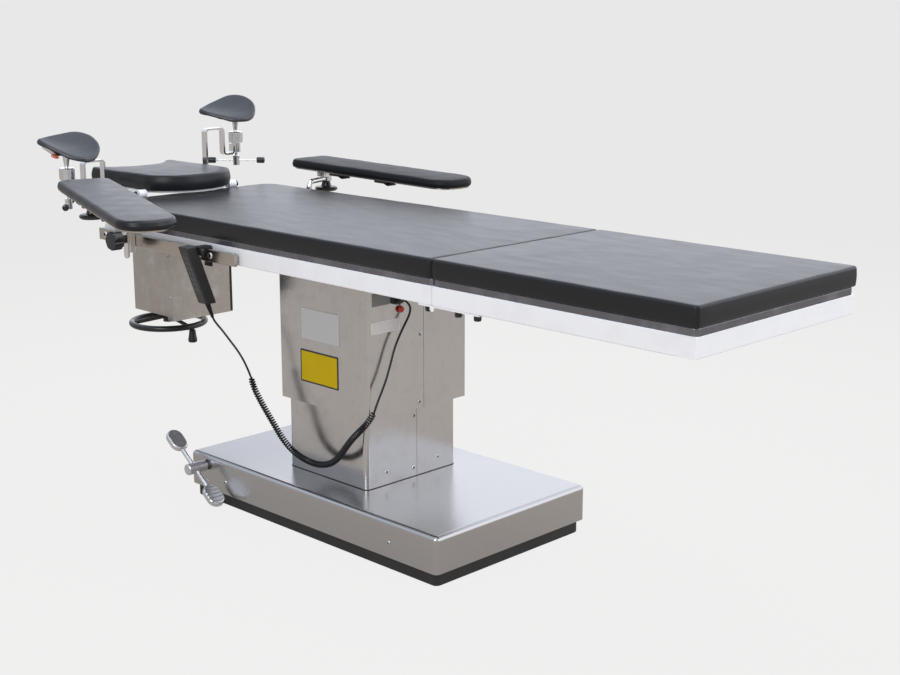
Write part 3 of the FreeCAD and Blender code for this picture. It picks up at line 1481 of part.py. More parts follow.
def arm_board(side_name):
    """Steel plate with a turned down edge and the two lugs that hang on the pivot's pin."""
    low = board_rise - (pitch_z - block_bottom_z)
    plate = board_outline(board_sheet_inset, low, low + board_sheet)
    shape = plate
    lug_in = block_width / 2 + board_lug_gap
    for side in (-1, 1):
        start = min(side * lug_in, side * (lug_in + board_lug_thickness))
        ear = cylinder(Vector(0, start, 0), ACROSS, board_lug_radius, board_lug_thickness)
        web = box(-board_lug_radius, board_lug_radius, start, start + board_lug_thickness, 0, low + 1)
        shape = shape.fuse([ear, web])
    bore = cylinder(Vector(0, -board_width, 0), ACROSS, pitch_pin_radius + running_fit, 2 * board_width)
    shape = shape.cut(bore).removeSplitter()
    shape.Placement = board_placement(side_name, True)
    return shape


def arm_pad(side_name):
    low = board_rise - (pitch_z - block_bottom_z) + board_sheet + soft_gap
    top = low + board_pad_thickness
    pad = board_outline(0, low, top)
    pad = pad.makeFillet(board_pad_edge_radius, edges_at(pad, top) + edges_at(pad, low))
    pad.Placement = board_placement(side_name, True)
    return pad


# Handset

def handset_placement():
    """Local frame: X across the handset, Y from front to back, Z up its length, top at 0."""
    angle = math.radians(handset_lean)
    half = handset_thickness / 2
    middle = Vector(handset_x, handset_front_y + half * math.cos(angle), handset_top_z + half * math.sin(angle))
    return FreeCAD.Placement(middle, FreeCAD.Rotation(ALONG, handset_lean))


def handset_body():
    """Slim leaning body with level ends, in its own frame."""
    half = handset_width / 2
    thick = handset_thickness / 2
    outline = [(-thick, 0), (thick, -handset_slope), (thick, -handset_slope - handset_length),
               (-thick, -handset_length)]
    body = profile_along(outline, -half, half)
    return body.makeFillet(handset_edge_radius, body.Edges)


def handset_case():
    """The body with its recessed key panel."""
    front = -handset_thickness / 2
    side = handset_width / 2 - handset_panel_margin
    panel = box(-side, side, front - 1, front + handset_panel_depth,
                -handset_length + handset_panel_foot, -handset_panel_head)
    case = handset_body().cut(panel)
    case.Placement = handset_placement()
    return case


def handset_relief():
    start = Vector(0, 0, -handset_length - handset_slope / 2)
    cone = Part.makeCone(relief_top_radius, relief_end_radius, relief_length, start, -UP)
    neck = cylinder(start, UP, relief_top_radius, handset_slope)
    relief = cone.fuse(neck).removeSplitter().cut(handset_body())
    relief.Placement = handset_placement()
    return relief


def handset_hook():
    """Bent strip on the handset's back that hangs over the rail's top and down behind it."""
    angle = math.radians(handset_lean)
    back_y = handset_front_y + handset_thickness * math.cos(angle)
    back_z = handset_top_z + handset_thickness * math.sin(angle)

    def back(z):
        return back_y + (back_z - z) * math.tan(angle)

    skew = hook_sheet / math.cos(angle)
    under = rail_top_z + hook_top_gap
    over = under + hook_sheet
    tail_in = -rail_inner_y + hook_top_gap
    tail_out = tail_in + hook_sheet
    points = [(back(over), over), (tail_out, over), (tail_out, hook_tail_z), (tail_in, hook_tail_z),
              (tail_in, under), (back(under) + skew, under), (back(hook_back_z) + skew, hook_back_z),
              (back(hook_back_z), hook_back_z)]
    return profile_along(points, hook_head_x, hook_foot_x)


def export(name, shape):
    if not shape.isValid():
        print("not valid:", name)
    shape.exportStep("parts/" + name + ".step")


def main():
    os.makedirs("parts", exist_ok=True)
    pieces = {
        "base_plinth": base_plinth, "base_chassis": base_chassis, "base_cover": base_cover,
        "pedal_lever": pedal_lever, "pedal_pads": pedal_pads,
        "lower_shroud": lower_shroud, "upper_shroud": upper_shroud,
        "lift_outer_tube": lift_outer_tube, "lift_inner_tube": lift_inner_tube,
        "lift_cylinder": lift_cylinder, "lift_ram": lift_ram, "tilt_yoke": tilt_yoke,
        "handset_socket": handset_socket, "stop_button": stop_button,
        "handset_lead": handset_lead, "curly_cord": curly_cord, "column_lead": column_lead,
        "cord_plug": cord_plug,
        "side_beams": side_beams, "cross_beams": cross_beams, "tilt_shaft": tilt_shaft,
        "back_panel": back_panel, "back_mattress": back_mattress,
        "side_rails": side_rails,
        "leg_frame": leg_frame, "leg_panel": leg_panel, "leg_mattress": leg_mattress,
        "gearbox_housing": gearbox_housing, "gearbox_cover": gearbox_cover,
        "handwheel": handwheel, "lead_screw": lead_screw, "wheel_grip": wheel_grip,
        "head_carrier": head_carrier, "head_plate": head_plate, "head_pad": head_pad,
        "handset_case": handset_case, "handset_hook": handset_hook, "handset_relief": handset_relief}
    for name, make in pieces.items():
        export(name, make())
    side_pieces = {
        "rest_bar": rest_bar, "rest_post": rest_post, "rest_pad": rest_pad, "rest_lever": rest_lever,
        "rest_t_handle": rest_t_handle, "arm_clamp": arm_clamp, "star_knob": star_knob,
        "disc_knob": disc_knob, "pivot_block": pivot_block, "arm_board": arm_board, "arm_pad": arm_pad}
    for side_name in RIGHT_AND_LEFT:
        for name, make in side_pieces.items():
            export(name + "_" + side_name, make(side_name))


main()
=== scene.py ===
import math

import bmesh
import bpy
import numpy as np
from mathutils import Matrix, Vector


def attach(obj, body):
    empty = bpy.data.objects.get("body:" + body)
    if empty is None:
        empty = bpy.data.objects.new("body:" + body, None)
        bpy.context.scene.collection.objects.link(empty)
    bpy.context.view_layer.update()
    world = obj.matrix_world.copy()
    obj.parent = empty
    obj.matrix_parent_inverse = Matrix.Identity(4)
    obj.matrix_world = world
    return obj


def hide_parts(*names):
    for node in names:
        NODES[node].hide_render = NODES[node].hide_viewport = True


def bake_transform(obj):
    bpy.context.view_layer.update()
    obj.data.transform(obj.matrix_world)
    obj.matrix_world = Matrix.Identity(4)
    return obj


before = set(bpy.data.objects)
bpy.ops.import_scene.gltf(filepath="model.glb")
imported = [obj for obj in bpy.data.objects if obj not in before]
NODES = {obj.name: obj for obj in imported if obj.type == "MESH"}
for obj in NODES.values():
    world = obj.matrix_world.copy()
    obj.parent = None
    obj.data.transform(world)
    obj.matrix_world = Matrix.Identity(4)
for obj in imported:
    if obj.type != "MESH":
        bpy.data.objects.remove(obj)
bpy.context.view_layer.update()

# Metres. X runs to the foot end, Y to the table's left side, Z up.

SIDES = {"right": -1.0, "left": 1.0}


# Meshes

MERGE_DISTANCE = 1e-6
SHARP_ANGLE = math.radians(30)


def mesh_object(name, points, faces, material):
    """A closed mesh with its normals outward, at the origin, with its place in its points."""
    mesh = bpy.data.meshes.new(name)
    mesh.from_pydata(np.asarray(points, float).tolist(), [], faces)
    solid = bmesh.new()
    solid.from_mesh(mesh)
    bmesh.ops.remove_doubles(solid, verts=solid.verts, dist=MERGE_DISTANCE)
    bmesh.ops.recalc_face_normals(solid, faces=solid.faces)
    solid.to_mesh(mesh)
    solid.free()
    mesh.shade_smooth()
    mesh.materials.append(material)
    obj = bpy.data.objects.new(name, mesh)
    bpy.context.scene.collection.objects.link(obj)
    return obj


def rings_to_faces(rings, count):
    """Quads between rings: each point, the next on its ring, and the same two one ring on."""
    here = np.arange((rings - 1) * count).reshape(rings - 1, count)
    beside = np.roll(here, -1, axis=1)
    return np.stack([here, beside, beside + count, here + count], axis=-1).reshape(-1, 4).tolist()


def closed_rings(rings, count):
    """The quads between rings, with the first and the last ring each closed by one face."""
    last = (rings - 1) * count
    return rings_to_faces(rings, count) + [list(range(count)), list(range(last, last + count))]


def turned_ring(count):
    """Cosine and sine of equal steps round a circle."""
    angles = np.linspace(0, 2 * math.pi, count, endpoint=False)
    return np.cos(angles), np.sin(angles)


def lathe(profile, count):
    """Solid of revolution about Z: each (r, z) gives the ring (r cos a, r sin a, z)."""
    profile = np.array(profile, float)
    radius, level = np.maximum(profile[:, :1], 1e-5), profile[:, 1:]
    cosine, sine = turned_ring(count)
    points = np.stack([radius * cosine, radius * sine, level + 0 * cosine], axis=-1).reshape(-1, 3)
    return points, closed_rings(len(profile), count)


def placed(points, matrix):
    """Points moved by a 4 by 4 matrix: M P + T."""
    m = np.array(matrix)
    return points @ m[:3, :3].T + m[:3, 3]


def facing(origin, normal):
    """Matrix of a frame with its Z along an upright face's normal and its Y upward."""
    z = Vector(normal).normalized()
    x = Vector((0, 0, 1)).cross(z).normalized()
    m = Matrix((x, z.cross(x), z)).transposed().to_4x4()
    m.translation = Vector(origin)
    return m


def joined(parts):
    """Points and faces of several parts as one list."""
    points, faces, start = [], [], 0
    for part_points, part_faces in parts:
        points.append(part_points)
        faces += [[i + start for i in face] for face in part_faces]
        start += len(part_points)
    return np.concatenate(points), faces


def rounded_outline(corners, radii, step, arc_step):
    """Closed outline of straight runs and tangent arcs, with its outward normals.

    An arc of radius r at a corner of half angle h starts r / tan h from it, about a centre
    r / sin h along the corner's middle line: P = C + r (cos a, sin a). A run between A and B
    is P = A (1 - t) + B t.
    """
    corners = [np.array(c, float) for c in corners]
    arcs = []
    for i, corner in enumerate(corners):
        before, after = corners[i - 1] - corner, corners[(i + 1) % len(corners)] - corner
        before, after = before / np.linalg.norm(before), after / np.linalg.norm(after)
        half = math.acos(np.clip(before @ after, -1, 1)) / 2
        reach = radii[i] / math.tan(half)
        middle = (before + after) / np.linalg.norm(before + after)
        arcs.append((corner + before * reach, corner + after * reach,
                     corner + middle * radii[i] / math.sin(half), radii[i]))
    points, normals = [], []
    for i, (first, last, centre, radius) in enumerate(arcs):
        low = math.atan2(*(first - centre)[::-1])
        high = math.atan2(*(last - centre)[::-1])
        turn = (high - low + math.pi) % (2 * math.pi) - math.pi
        count = max(4, int(abs(turn) * radius / arc_step))
        angle = low + turn * np.arange(count) / count
        direction = np.column_stack([np.cos(angle), np.sin(angle)])
        points.append(centre + direction * radius)
        normals.append(direction)
        run = arcs[(i + 1) % len(arcs)][0] - last
        length = np.linalg.norm(run)
        count = max(1, int(length / step))
        points.append(last + run * np.arange(count)[:, None] / count)
        normals.append(np.tile(np.array([run[1], -run[0]]) / max(length, 1e-9), (count, 1)))
    return np.concatenate(points), np.concatenate(normals)


def ripple(points, size, seed):
    """Smooth made-up unevenness: a sum of sines with fixed directions and phases."""
    rng = np.random.default_rng(seed)
    total, waves = np.zeros(len(points)), 7
    for _ in range(waves):
        direction = rng.normal(size=3)
        direction /= np.linalg.norm(direction)
        wave = size * rng.uniform(0.5, 1.6)
        total += np.sin(points @ direction * 2 * math.pi / wave + rng.uniform(0, 6.28))
    return total / waves


SEAM_WIDTH, SEAM_PULL = 0.0022, 0.0011
CORNER_WIDTH, CORNER_PULL = 0.020, 0.0006
BROAD_WAVE, FINE_WAVE, FINE_SHARE = 0.09, 0.03, 0.35
SIDE_SHARE, TOP_FROM = 0.8, 0.97


def cushion(name, outline, normals, spine, z0, z1, material, crown, edge, bulge, wrinkle, seed,
            dish=None, belly=None, matrix=None, corners=(), rings=16):
    """Upholstered pad of rings, each from an inset d, a share t and a height z.

    A ring is (P - n d) (1 - t) + S t, from the outline P towards the spine S. The side has t = 0
    and d = edge (1 - cos a) on its rolled edges, with a bulge sin(pi t) between them. The top has
    d = edge and z = z1 + crown (1 - (1 - t)^2.4). The upright seams at the corners pull in by
    Gaussians of the distance to each, and a ripple unsettles sides and top. A dish moves points
    by its depth times their height, a belly by the rest.
    """
    count = len(outline)
    start, end = np.array(spine, float)
    run = end - start
    along = np.clip(((outline - start) @ run) / max(run @ run, 1e-12), 0, 1)
    core = start + along[:, None] * run
    low_edge = min(edge * 0.6, 0.004)
    low, high = z0 + low_edge, z1 - edge
    quarter = math.pi / 2
    profile = [(low_edge, t, z0) for t in np.linspace(1.0, 0.04, 5)]
    profile += [(low_edge * (1 - math.sin(a)), 0, z0 + low_edge * (1 - math.cos(a)))
                for a in np.linspace(0, quarter, 5)]
    profile += [(-bulge * math.sin(math.pi * t), 0, low + (high - low) * t)
                for t in np.linspace(0, 1, 7)[1:-1]]
    profile += [(edge * (1 - math.cos(a)), 0, high + edge * math.sin(a))
                for a in np.linspace(0, quarter, 8)]
    profile += [(edge, t, z1 + crown * (1 - (1 - t) ** 2.4)) for t in np.linspace(0, 1, rings)[1:]]
    inset, share, level = np.array(profile).T[:, :, None, None]
    ring = (outline - normals * inset) * (1 - share) + core * share
    points = np.concatenate([ring, level + 0 * ring[:, :, :1]], axis=-1).reshape(-1, 3)
    height = np.clip((points[:, 2] - z0) / (z1 - z0), 0, 1)
    across = np.tile(normals, (len(profile), 1))
    near_side = np.repeat(share.ravel() == 0, count)
    pull = np.zeros(len(points))
    for cx, cy in corners:
        distance = np.hypot(points[:, 0] - cx, points[:, 1] - cy)
        pull += (np.exp(-(distance / SEAM_WIDTH) ** 2) * SEAM_PULL
                 + np.exp(-(distance / CORNER_WIDTH) ** 2) * CORNER_PULL)
    wave = (ripple(points, BROAD_WAVE, seed) * wrinkle
            + ripple(points, FINE_WAVE, seed + 5) * wrinkle * FINE_SHARE)
    points[:, :2] -= across * ((pull + wave * SIDE_SHARE) * near_side)[:, None]
    points[:, 2] += wave * (height > TOP_FROM)
    if dish is not None:
        points[:, 2] += dish(points[:, 0], points[:, 1]) * height
    if belly is not None:
        points[:, 2] += belly(points[:, 0], points[:, 1]) * (1 - height)
    if matrix is not None:
        points = placed(points, matrix)
    return mesh_object(name, points, rings_to_faces(len(profile), count), material)


# Shader groups: they hold masks and values only

def feed(tree, socket, value):
    """Leads another socket to a socket, or sets it to a plain value."""
    if isinstance(value, bpy.types.NodeSocket):
        tree.links.new(value, socket)
    else:
        socket.default_value = (*value, 1.0) if socket.type == "RGBA" else value


def node(tree, kind, inputs=(), **settings):
    """A new node with its settings and inputs. What comes back is its outputs."""
    made = tree.nodes.new(kind)
    for key, value in settings.items():
        setattr(made, key, value)
    for key, value in dict(inputs).items():
        feed(tree, made.inputs[key], value)
    return made.outputs


def make_group(name, **inputs):
    """A new node group and its inputs: the position, and more as kind and default."""
    tree = bpy.data.node_groups.new(name, "ShaderNodeTree")
    tree.interface.new_socket("Position", in_out="INPUT", socket_type="NodeSocketVector")
    for label, (kind, default) in inputs.items():
        socket = tree.interface.new_socket(label, in_out="INPUT", socket_type=kind)
        socket.default_value = default
    return tree, node(tree, "NodeGroupInput")


def give_masks(tree, **masks):
    """A group with one output for each of its masks."""
    for label in masks:
        tree.interface.new_socket(label, in_out="OUTPUT", socket_type="NodeSocketFloat")
    node(tree, "NodeGroupOutput", masks)
    return tree


def noise(tree, vector, scale, detail, rough=0.5):
    """Fractal noise of a position, from 0 to 1."""
    return node(tree, "ShaderNodeTexNoise", {
        "Vector": vector, "Scale": scale, "Detail": detail, "Roughness": rough})["Fac"]


def ramp(tree, value, low, high, to_low=0.0, to_high=1.0):
    """Smooth step of a value from low to high, onto another range."""
    return node(tree, "ShaderNodeMapRange", {
        "Value": value, "From Min": low, "From Max": high, "To Min": to_low, "To Max": to_high},
        interpolation_type="SMOOTHSTEP")["Result"]


def maths(tree, operation, a, b):
    """One sum of two numbers or sockets."""
    return node(tree, "ShaderNodeMath", {0: a, 1: b}, operation=operation)[0]


def stretch(tree, vector, scale):
    """A position scaled by its own factor along each axis."""
    return node(tree, "ShaderNodeVectorMath", {0: vector, 1: scale}, operation="MULTIPLY")[0]


def brushed_group():
    """Masks of brushed sheet steel: fine grain lines, broad blotches and rubbed smudges."""
    tree, given = make_group("brushed_masks", Grain=("NodeSocketVector", (400.0, 400.0, 8.0)))
    scaled = stretch(tree, given["Position"], given["Grain"])
    blotch = noise(tree, given["Position"], 9.0, 5.0, 0.6)
    smudge = noise(tree, given["Position"], 31.0, 7.0, 0.68)
    return give_masks(tree, Lines=noise(tree, scaled, 1.0, 5.0, 0.65),
                      Blotch=ramp(tree, blotch, 0.35, 0.68), Smudge=ramp(tree, smudge, 0.48, 0.72))


def cloth_group():
    """Masks of coated upholstery: pebbled grain, soft creases and broad colour drift."""
    tree, given = make_group("upholstery_masks")
    place = given["Position"]
    warp = node(tree, "ShaderNodeTexNoise", {"Vector": place, "Scale": 260.0})["Color"]
    moved = node(tree, "ShaderNodeVectorMath", {0: warp, 1: (0.0016, 0.0016, 0.0016), 2: place},
                 operation="MULTIPLY_ADD")[0]
    cells = node(tree, "ShaderNodeTexVoronoi", {"Vector": moved, "Scale": 620.0},
                 feature="DISTANCE_TO_EDGE")["Distance"]
    stretched = stretch(tree, place, (5.0, 14.0, 9.0))
    return give_masks(tree, Grain=ramp(tree, cells, 0.0, 0.28),
                      Crease=noise(tree, stretched, 2.2, 6.0, 0.58),
                      Drift=noise(tree, place, 3.2, 3.0, 0.5))


def speckle_group():
    """Masks of moulded or painted surfaces: fine orange peel, dust and rubbed patches."""
    tree, given = make_group("speckle_masks", Size=("NodeSocketFloat", 500.0))
    dust = noise(tree, given["Position"], 55.0, 8.0, 0.75)
    rub = noise(tree, given["Position"], 14.0, 4.0, 0.6)
    return give_masks(tree, Peel=noise(tree, given["Position"], given["Size"], 3.0),
                      Dust=ramp(tree, dust, 0.55, 0.78), Rub=ramp(tree, rub, 0.45, 0.7))


BRUSHED = brushed_group()
CLOTH = cloth_group()
SPECKLE = speckle_group()


def new_material(name, base, metallic, roughness, **constants):
    """A material, its nodes, its shader's inputs with their constants, and its coordinates."""
    material = bpy.data.materials.new(name)
    material.use_nodes = True
    tree = material.node_tree
    shader = tree.nodes["Principled BSDF"].inputs
    constants.update(Base_Color=base, Metallic=metallic, Roughness=roughness)
    for key, value in constants.items():
        feed(tree, shader[key.replace("_", " ")], value)
    return material, tree, shader, node(tree, "ShaderNodeTexCoord")["Object"]


def use_group(tree, group, position, **values):
    """A mask group placed in a material, with its own values."""
    return node(tree, "ShaderNodeGroup", {"Position": position, **values}, node_tree=group)


def mix_colours(tree, factor, a, b):
    """Colour between a and b, each a socket or a plain colour."""
    return node(tree, "ShaderNodeMix", {"Factor": factor, 6: a, 7: b}, data_type="RGBA")[2]


def bump(tree, shader, height, distance, strength):
    """Fine relief on a shader from a height."""
    made = node(tree, "ShaderNodeBump", {
        "Strength": strength, "Distance": distance, "Height": height})
    feed(tree, shader["Normal"], made["Normal"])


def brushed_metal(name, light, dark, grain, rough, stain=None, stained=0.30, top=None):
    """Brushed sheet: grain lines in height and shine, blotches and smudges in colour.

    With top, faces that look up take its colours as a painted shade: the first at the head end,
    the second at the foot end.
    """
    material, tree, shader, position = new_material(name, light, 1.0, rough[0])
    masks = use_group(tree, BRUSHED, position, Grain=grain)
    tone = ramp(tree, masks["Lines"], 0.25, 0.75)
    colour = mix_colours(tree, maths(tree, "MULTIPLY", tone, 0.3), light, dark)
    if stain is not None:
        smudged = maths(tree, "MULTIPLY", masks["Smudge"], stained)
        colour = mix_colours(tree, smudged, colour, stain)
    blotched = maths(tree, "MULTIPLY", masks["Blotch"], stained * 0.7)
    colour = mix_colours(tree, blotched, colour, dark)
    if top is not None:
        along = node(tree, "ShaderNodeSeparateXYZ", {0: position})["X"]
        normal = node(tree, "ShaderNodeNewGeometry")["Normal"]
        upward = node(tree, "ShaderNodeSeparateXYZ", {0: normal})["Z"]
        painted_top_shade = mix_colours(tree, ramp(tree, along, -0.34, 0.16), *top)
        colour = mix_colours(tree, ramp(tree, upward, 0.6, 0.95), colour, painted_top_shade)
    feed(tree, shader["Base Color"], colour)
    lines = ramp(tree, masks["Lines"], 0.2, 0.8, rough[0], rough[1])
    smudged = maths(tree, "MULTIPLY", masks["Smudge"], stained * 0.16)
    feed(tree, shader["Roughness"], maths(tree, "ADD", lines, smudged))
    bump(tree, shader, masks["Lines"], 0.000006, 0.6)
    return material


def painted(name, base, worn, roughness=0.4, peel=420.0, depth=0.00006, metallic=0.0, **constants):
    """Paint or moulded plastic: fine peel in height, dust and rubbing in colour and shine."""
    material, tree, shader, position = new_material(name, base, metallic, roughness, **constants)
    masks = use_group(tree, SPECKLE, position, Size=peel)
    colour = mix_colours(tree, maths(tree, "MULTIPLY", masks["Rub"], 0.5), base, worn)
    colour = mix_colours(tree, maths(tree, "MULTIPLY", masks["Dust"], 0.25), colour, worn)
    feed(tree, shader["Base Color"], colour)
    rubbed = ramp(tree, masks["Rub"], 0.0, 1.0, roughness * 0.9, roughness * 1.15)
    dusty = maths(tree, "MULTIPLY", masks["Dust"], 0.08)
    feed(tree, shader["Roughness"], maths(tree, "ADD", rubbed, dusty))
    bump(tree, shader, masks["Peel"], depth, 0.5)
    return material


def polished(name, base, roughness=0.08, smear=0.12):
    """Bright plated metal with faint smears."""
    material, tree, shader, position = new_material(name, base, 1.0, roughness)
    masks = use_group(tree, SPECKLE, position, Size=260.0)
    smeared = ramp(tree, masks["Rub"], 0.0, 1.0, roughness, roughness + smear)
    feed(tree, shader["Roughness"], smeared)
    worn = tuple(c * 0.86 for c in base)
    dusty = maths(tree, "MULTIPLY", masks["Dust"], 0.5)
    feed(tree, shader["Base Color"], mix_colours(tree, dusty, base, worn))
    bump(tree, shader, masks["Peel"], 0.00002, 0.4)
    return material


def upholstery(name, lift=1.0, sheen=0.37, rough=0.33):
    """Black coated fabric: pebbled grain, a few long soft creases, slightly blue sheen."""
    dark, pale, cell = (tuple(lift * c for c in tone) for tone in (
        (0.006, 0.0064, 0.0075), (0.009, 0.0095, 0.011), (0.012, 0.013, 0.016)))
    material, tree, shader, position = new_material(name, dark, 0.0, rough,
                                                    Specular_IOR_Level=sheen)
    masks = use_group(tree, CLOTH, position)
    colour = mix_colours(tree, ramp(tree, masks["Drift"], 0.35, 0.65), dark, pale)
    colour = mix_colours(tree, maths(tree, "MULTIPLY", masks["Grain"], 0.35), colour, cell)
    feed(tree, shader["Base Color"], colour)
    feed(tree, shader["Roughness"], ramp(tree, masks["Crease"], 0.3, 0.7, rough, rough + 0.04))
    height = maths(tree, "ADD", maths(tree, "MULTIPLY", masks["Grain"], 0.035), masks["Crease"])
    bump(tree, shader, height, 0.0008, 0.3)
    return material


GRAIN_UP = (380.0, 380.0, 5.0)
GRAIN_ALONG = (5.0, 380.0, 380.0)
GRAIN_ACROSS = (380.0, 5.0, 380.0)
COLUMN = brushed_metal("column_steel", (0.59, 0.585, 0.58), (0.52, 0.51, 0.50), GRAIN_UP,
                       (0.16, 0.24), (0.48, 0.42, 0.38), stained=0.42)
# Painted shade: the base's up-facing faces darken towards the head end, under the table.
BASE = brushed_metal("base_steel", (0.49, 0.48, 0.475), (0.44, 0.43, 0.42), GRAIN_ALONG,
                     (0.20, 0.28), (0.47, 0.45, 0.43), stained=0.10,
                     top=((0.26, 0.26, 0.268), (0.40, 0.395, 0.395)))
GEARBOX = brushed_metal("gearbox_steel", (0.49, 0.465, 0.435), (0.39, 0.36, 0.325), GRAIN_UP,
                        (0.24, 0.36), (0.68, 0.665, 0.65), stained=0.6)
SHEET = brushed_metal("sheet_steel", (0.50, 0.46, 0.41), (0.42, 0.38, 0.34), GRAIN_ALONG,
                      (0.16, 0.26))
BRIGHT = brushed_metal("bright_steel", (0.74, 0.74, 0.75), (0.62, 0.62, 0.63), GRAIN_ACROSS,
                       (0.16, 0.28))
CHROME = polished("chrome", (0.80, 0.80, 0.81))
PALE = brushed_metal("pale_metal", (0.80, 0.80, 0.81), (0.68, 0.68, 0.69), GRAIN_UP, (0.30, 0.45))
WHITE = painted("white_paint", (0.88, 0.89, 0.90), (0.82, 0.82, 0.83), 0.38, 380.0)
PANEL = painted("dark_panel", (0.17, 0.17, 0.19), (0.29, 0.29, 0.31), 0.30, 200.0, metallic=0.85)
GREY = painted("grey_paint", (0.30, 0.31, 0.32), (0.22, 0.22, 0.23), 0.5)
PLINTH = painted("black_plinth", (0.012, 0.012, 0.013), (0.035, 0.033, 0.031), 0.55, 240.0, 0.0002)
BLACK = painted("black_plastic", (0.010, 0.010, 0.011), (0.030, 0.030, 0.031), 0.30, 500.0)
MATT = painted("dark_plastic", (0.018, 0.018, 0.020), (0.045, 0.045, 0.047), 0.5, 700.0, 0.0001)
HANDSET = painted("handset_plastic", (0.020, 0.021, 0.023), (0.045, 0.046, 0.048), 0.45, 900.0,
                  0.0001)
RUBBER = painted("cord_rubber", (0.006, 0.006, 0.007), (0.014, 0.014, 0.015), 0.36, 800.0, 0.00004,
                 Specular_IOR_Level=0.4)
TREAD = painted("pedal_metal", (0.66, 0.66, 0.67), (0.46, 0.45, 0.45), 0.34, 300.0, 0.0002,
                metallic=0.95)
RED = painted("red_plastic", (0.62, 0.045, 0.03), (0.40, 0.05, 0.04), 0.35)
ORANGE = painted("orange_plastic", (0.62, 0.13, 0.05), (0.40, 0.10, 0.06), 0.4)
YELLOW = painted("yellow_plate", (0.56, 0.40, 0.004), (0.51, 0.36, 0.008), 0.55,
                 Specular_IOR_Level=0.15)
SILVER = brushed_metal("silver_plate", (0.68, 0.70, 0.73), (0.60, 0.62, 0.65), GRAIN_ALONG,
                       (0.34, 0.48))
LABEL = painted("white_label", (0.97, 0.97, 0.98), (0.90, 0.90, 0.90), 0.45)
SEAM = painted("seam_shadow", (0.13, 0.12, 0.11), (0.20, 0.18, 0.16), 0.6)
KEYS = painted("dark_keys", (0.085, 0.088, 0.095), (0.11, 0.11, 0.112), 0.42)
FACE = painted("handset_face", (0.036, 0.037, 0.040), (0.055, 0.055, 0.057), 0.42)
PADDING = upholstery("upholstery")
HEAD_PADDING = upholstery("head_upholstery", 1.0, 0.30, 0.36)
# Painted light: the rest pads wear the same black fabric, lifted 2.4 times in colour and given a
# stronger sheen, standing in for the bright sky that they reflect.
REST_PADDING = upholstery("rest_upholstery_painted_light", 2.4, 0.62)
# Painted light: both arm pads are one fabric; the left one's lower shine and higher roughness make
# it a shaded copy of the lit right one, darker as it looks under this light.
ARM_PADDING = {"right": upholstery("right_arm_upholstery_lit_copy", 1.0, 0.33, 0.34),
               "left": upholstery("left_arm_upholstery_shaded_copy", 1.0, 0.16, 0.46)}

CARRIED = {
    "base_plinth": PLINTH, "base_chassis": GREY, "base_cover": BASE, "pedal_lever": TREAD,
    "pedal_pads": TREAD, "lower_shroud": COLUMN, "upper_shroud": COLUMN, "lift_outer_tube": GREY,
    "lift_inner_tube": BRIGHT, "lift_cylinder": GREY, "lift_ram": CHROME, "tilt_yoke": GREY,
    "handset_socket": MATT, "stop_button": RED, "cord_plug": MATT, "side_beams": WHITE,
    "cross_beams": WHITE, "tilt_shaft": BRIGHT, "back_panel": PANEL, "side_rails": SHEET,
    "leg_frame": WHITE, "leg_panel": PANEL, "gearbox_housing": GEARBOX, "gearbox_cover": GEARBOX,
    "handwheel": BLACK, "lead_screw": BRIGHT, "wheel_grip": BLACK, "head_carrier": WHITE,
    "head_plate": WHITE, "handset_case": HANDSET, "handset_hook": MATT}
CARRIED_SIDES = {
    "rest_bar": CHROME, "rest_post": BRIGHT, "rest_lever": ORANGE, "rest_t_handle": CHROME,
    "arm_clamp": CHROME, "star_knob": BLACK, "disc_knob": BLACK, "pivot_block": PALE,
    "arm_board": SHEET}


def dress_nodes():
    """Gives every solid that is carried over its finish."""
    finish = dict(CARRIED)
    for side in SIDES:
        for name, material in CARRIED_SIDES.items():
            finish[name + "_" + side] = material
    for name, material in finish.items():
        mesh = NODES[name].data
        mesh.materials.clear()
        mesh.materials.append(material)


# Cords

HANDSET_ROUTE = [
    (-0.3103, -0.2513, 0.4748), (-0.3103, -0.2474, 0.4639), (-0.290, -0.2395, 0.443),
    (-0.268, -0.236, 0.423), (-0.241, -0.230, 0.397), (-0.220, -0.2245, 0.367),
    (-0.210, -0.2205, 0.341)]
CURL_ROUTE = [
    (-0.210, -0.2205, 0.341), (-0.203, -0.219, 0.319), (-0.189, -0.2165, 0.296),
    (-0.170, -0.212, 0.268), (-0.148, -0.206, 0.237), (-0.126, -0.200, 0.205),
    (-0.101, -0.194, 0.181), (-0.070, -0.188, 0.165), (-0.036, -0.184, 0.1585),
    (-0.002, -0.182, 0.160), (0.030, -0.181, 0.171), (0.057, -0.181, 0.191),
    (0.080, -0.181, 0.219), (0.102, -0.1795, 0.245), (0.125, -0.175, 0.268),
    (0.143, -0.165, 0.291), (0.150, -0.154, 0.314)]
COLUMN_ROUTE = [
    (0.150, -0.154, 0.314), (0.152, -0.147, 0.333), (0.152, -0.134, 0.355),
    (0.151, -0.118, 0.382), (0.150, -0.104, 0.415), (0.1495, -0.091, 0.449),
    (0.1495, -0.072, 0.480), (0.1496, -0.055, 0.503), (0.1496, -0.0435, 0.519),
    (0.1496, -0.041, 0.534), (0.1496, -0.0484, 0.5448), (0.1496, -0.0577, 0.5518)]
LEAD_DIAMETER = 0.005
CURL_WIRE = 0.0039
CURL_RADIUS = 0.0060
CURL_PITCH = 0.0060
CURL_TAPER = 0.010
CURL_STEPS = 14


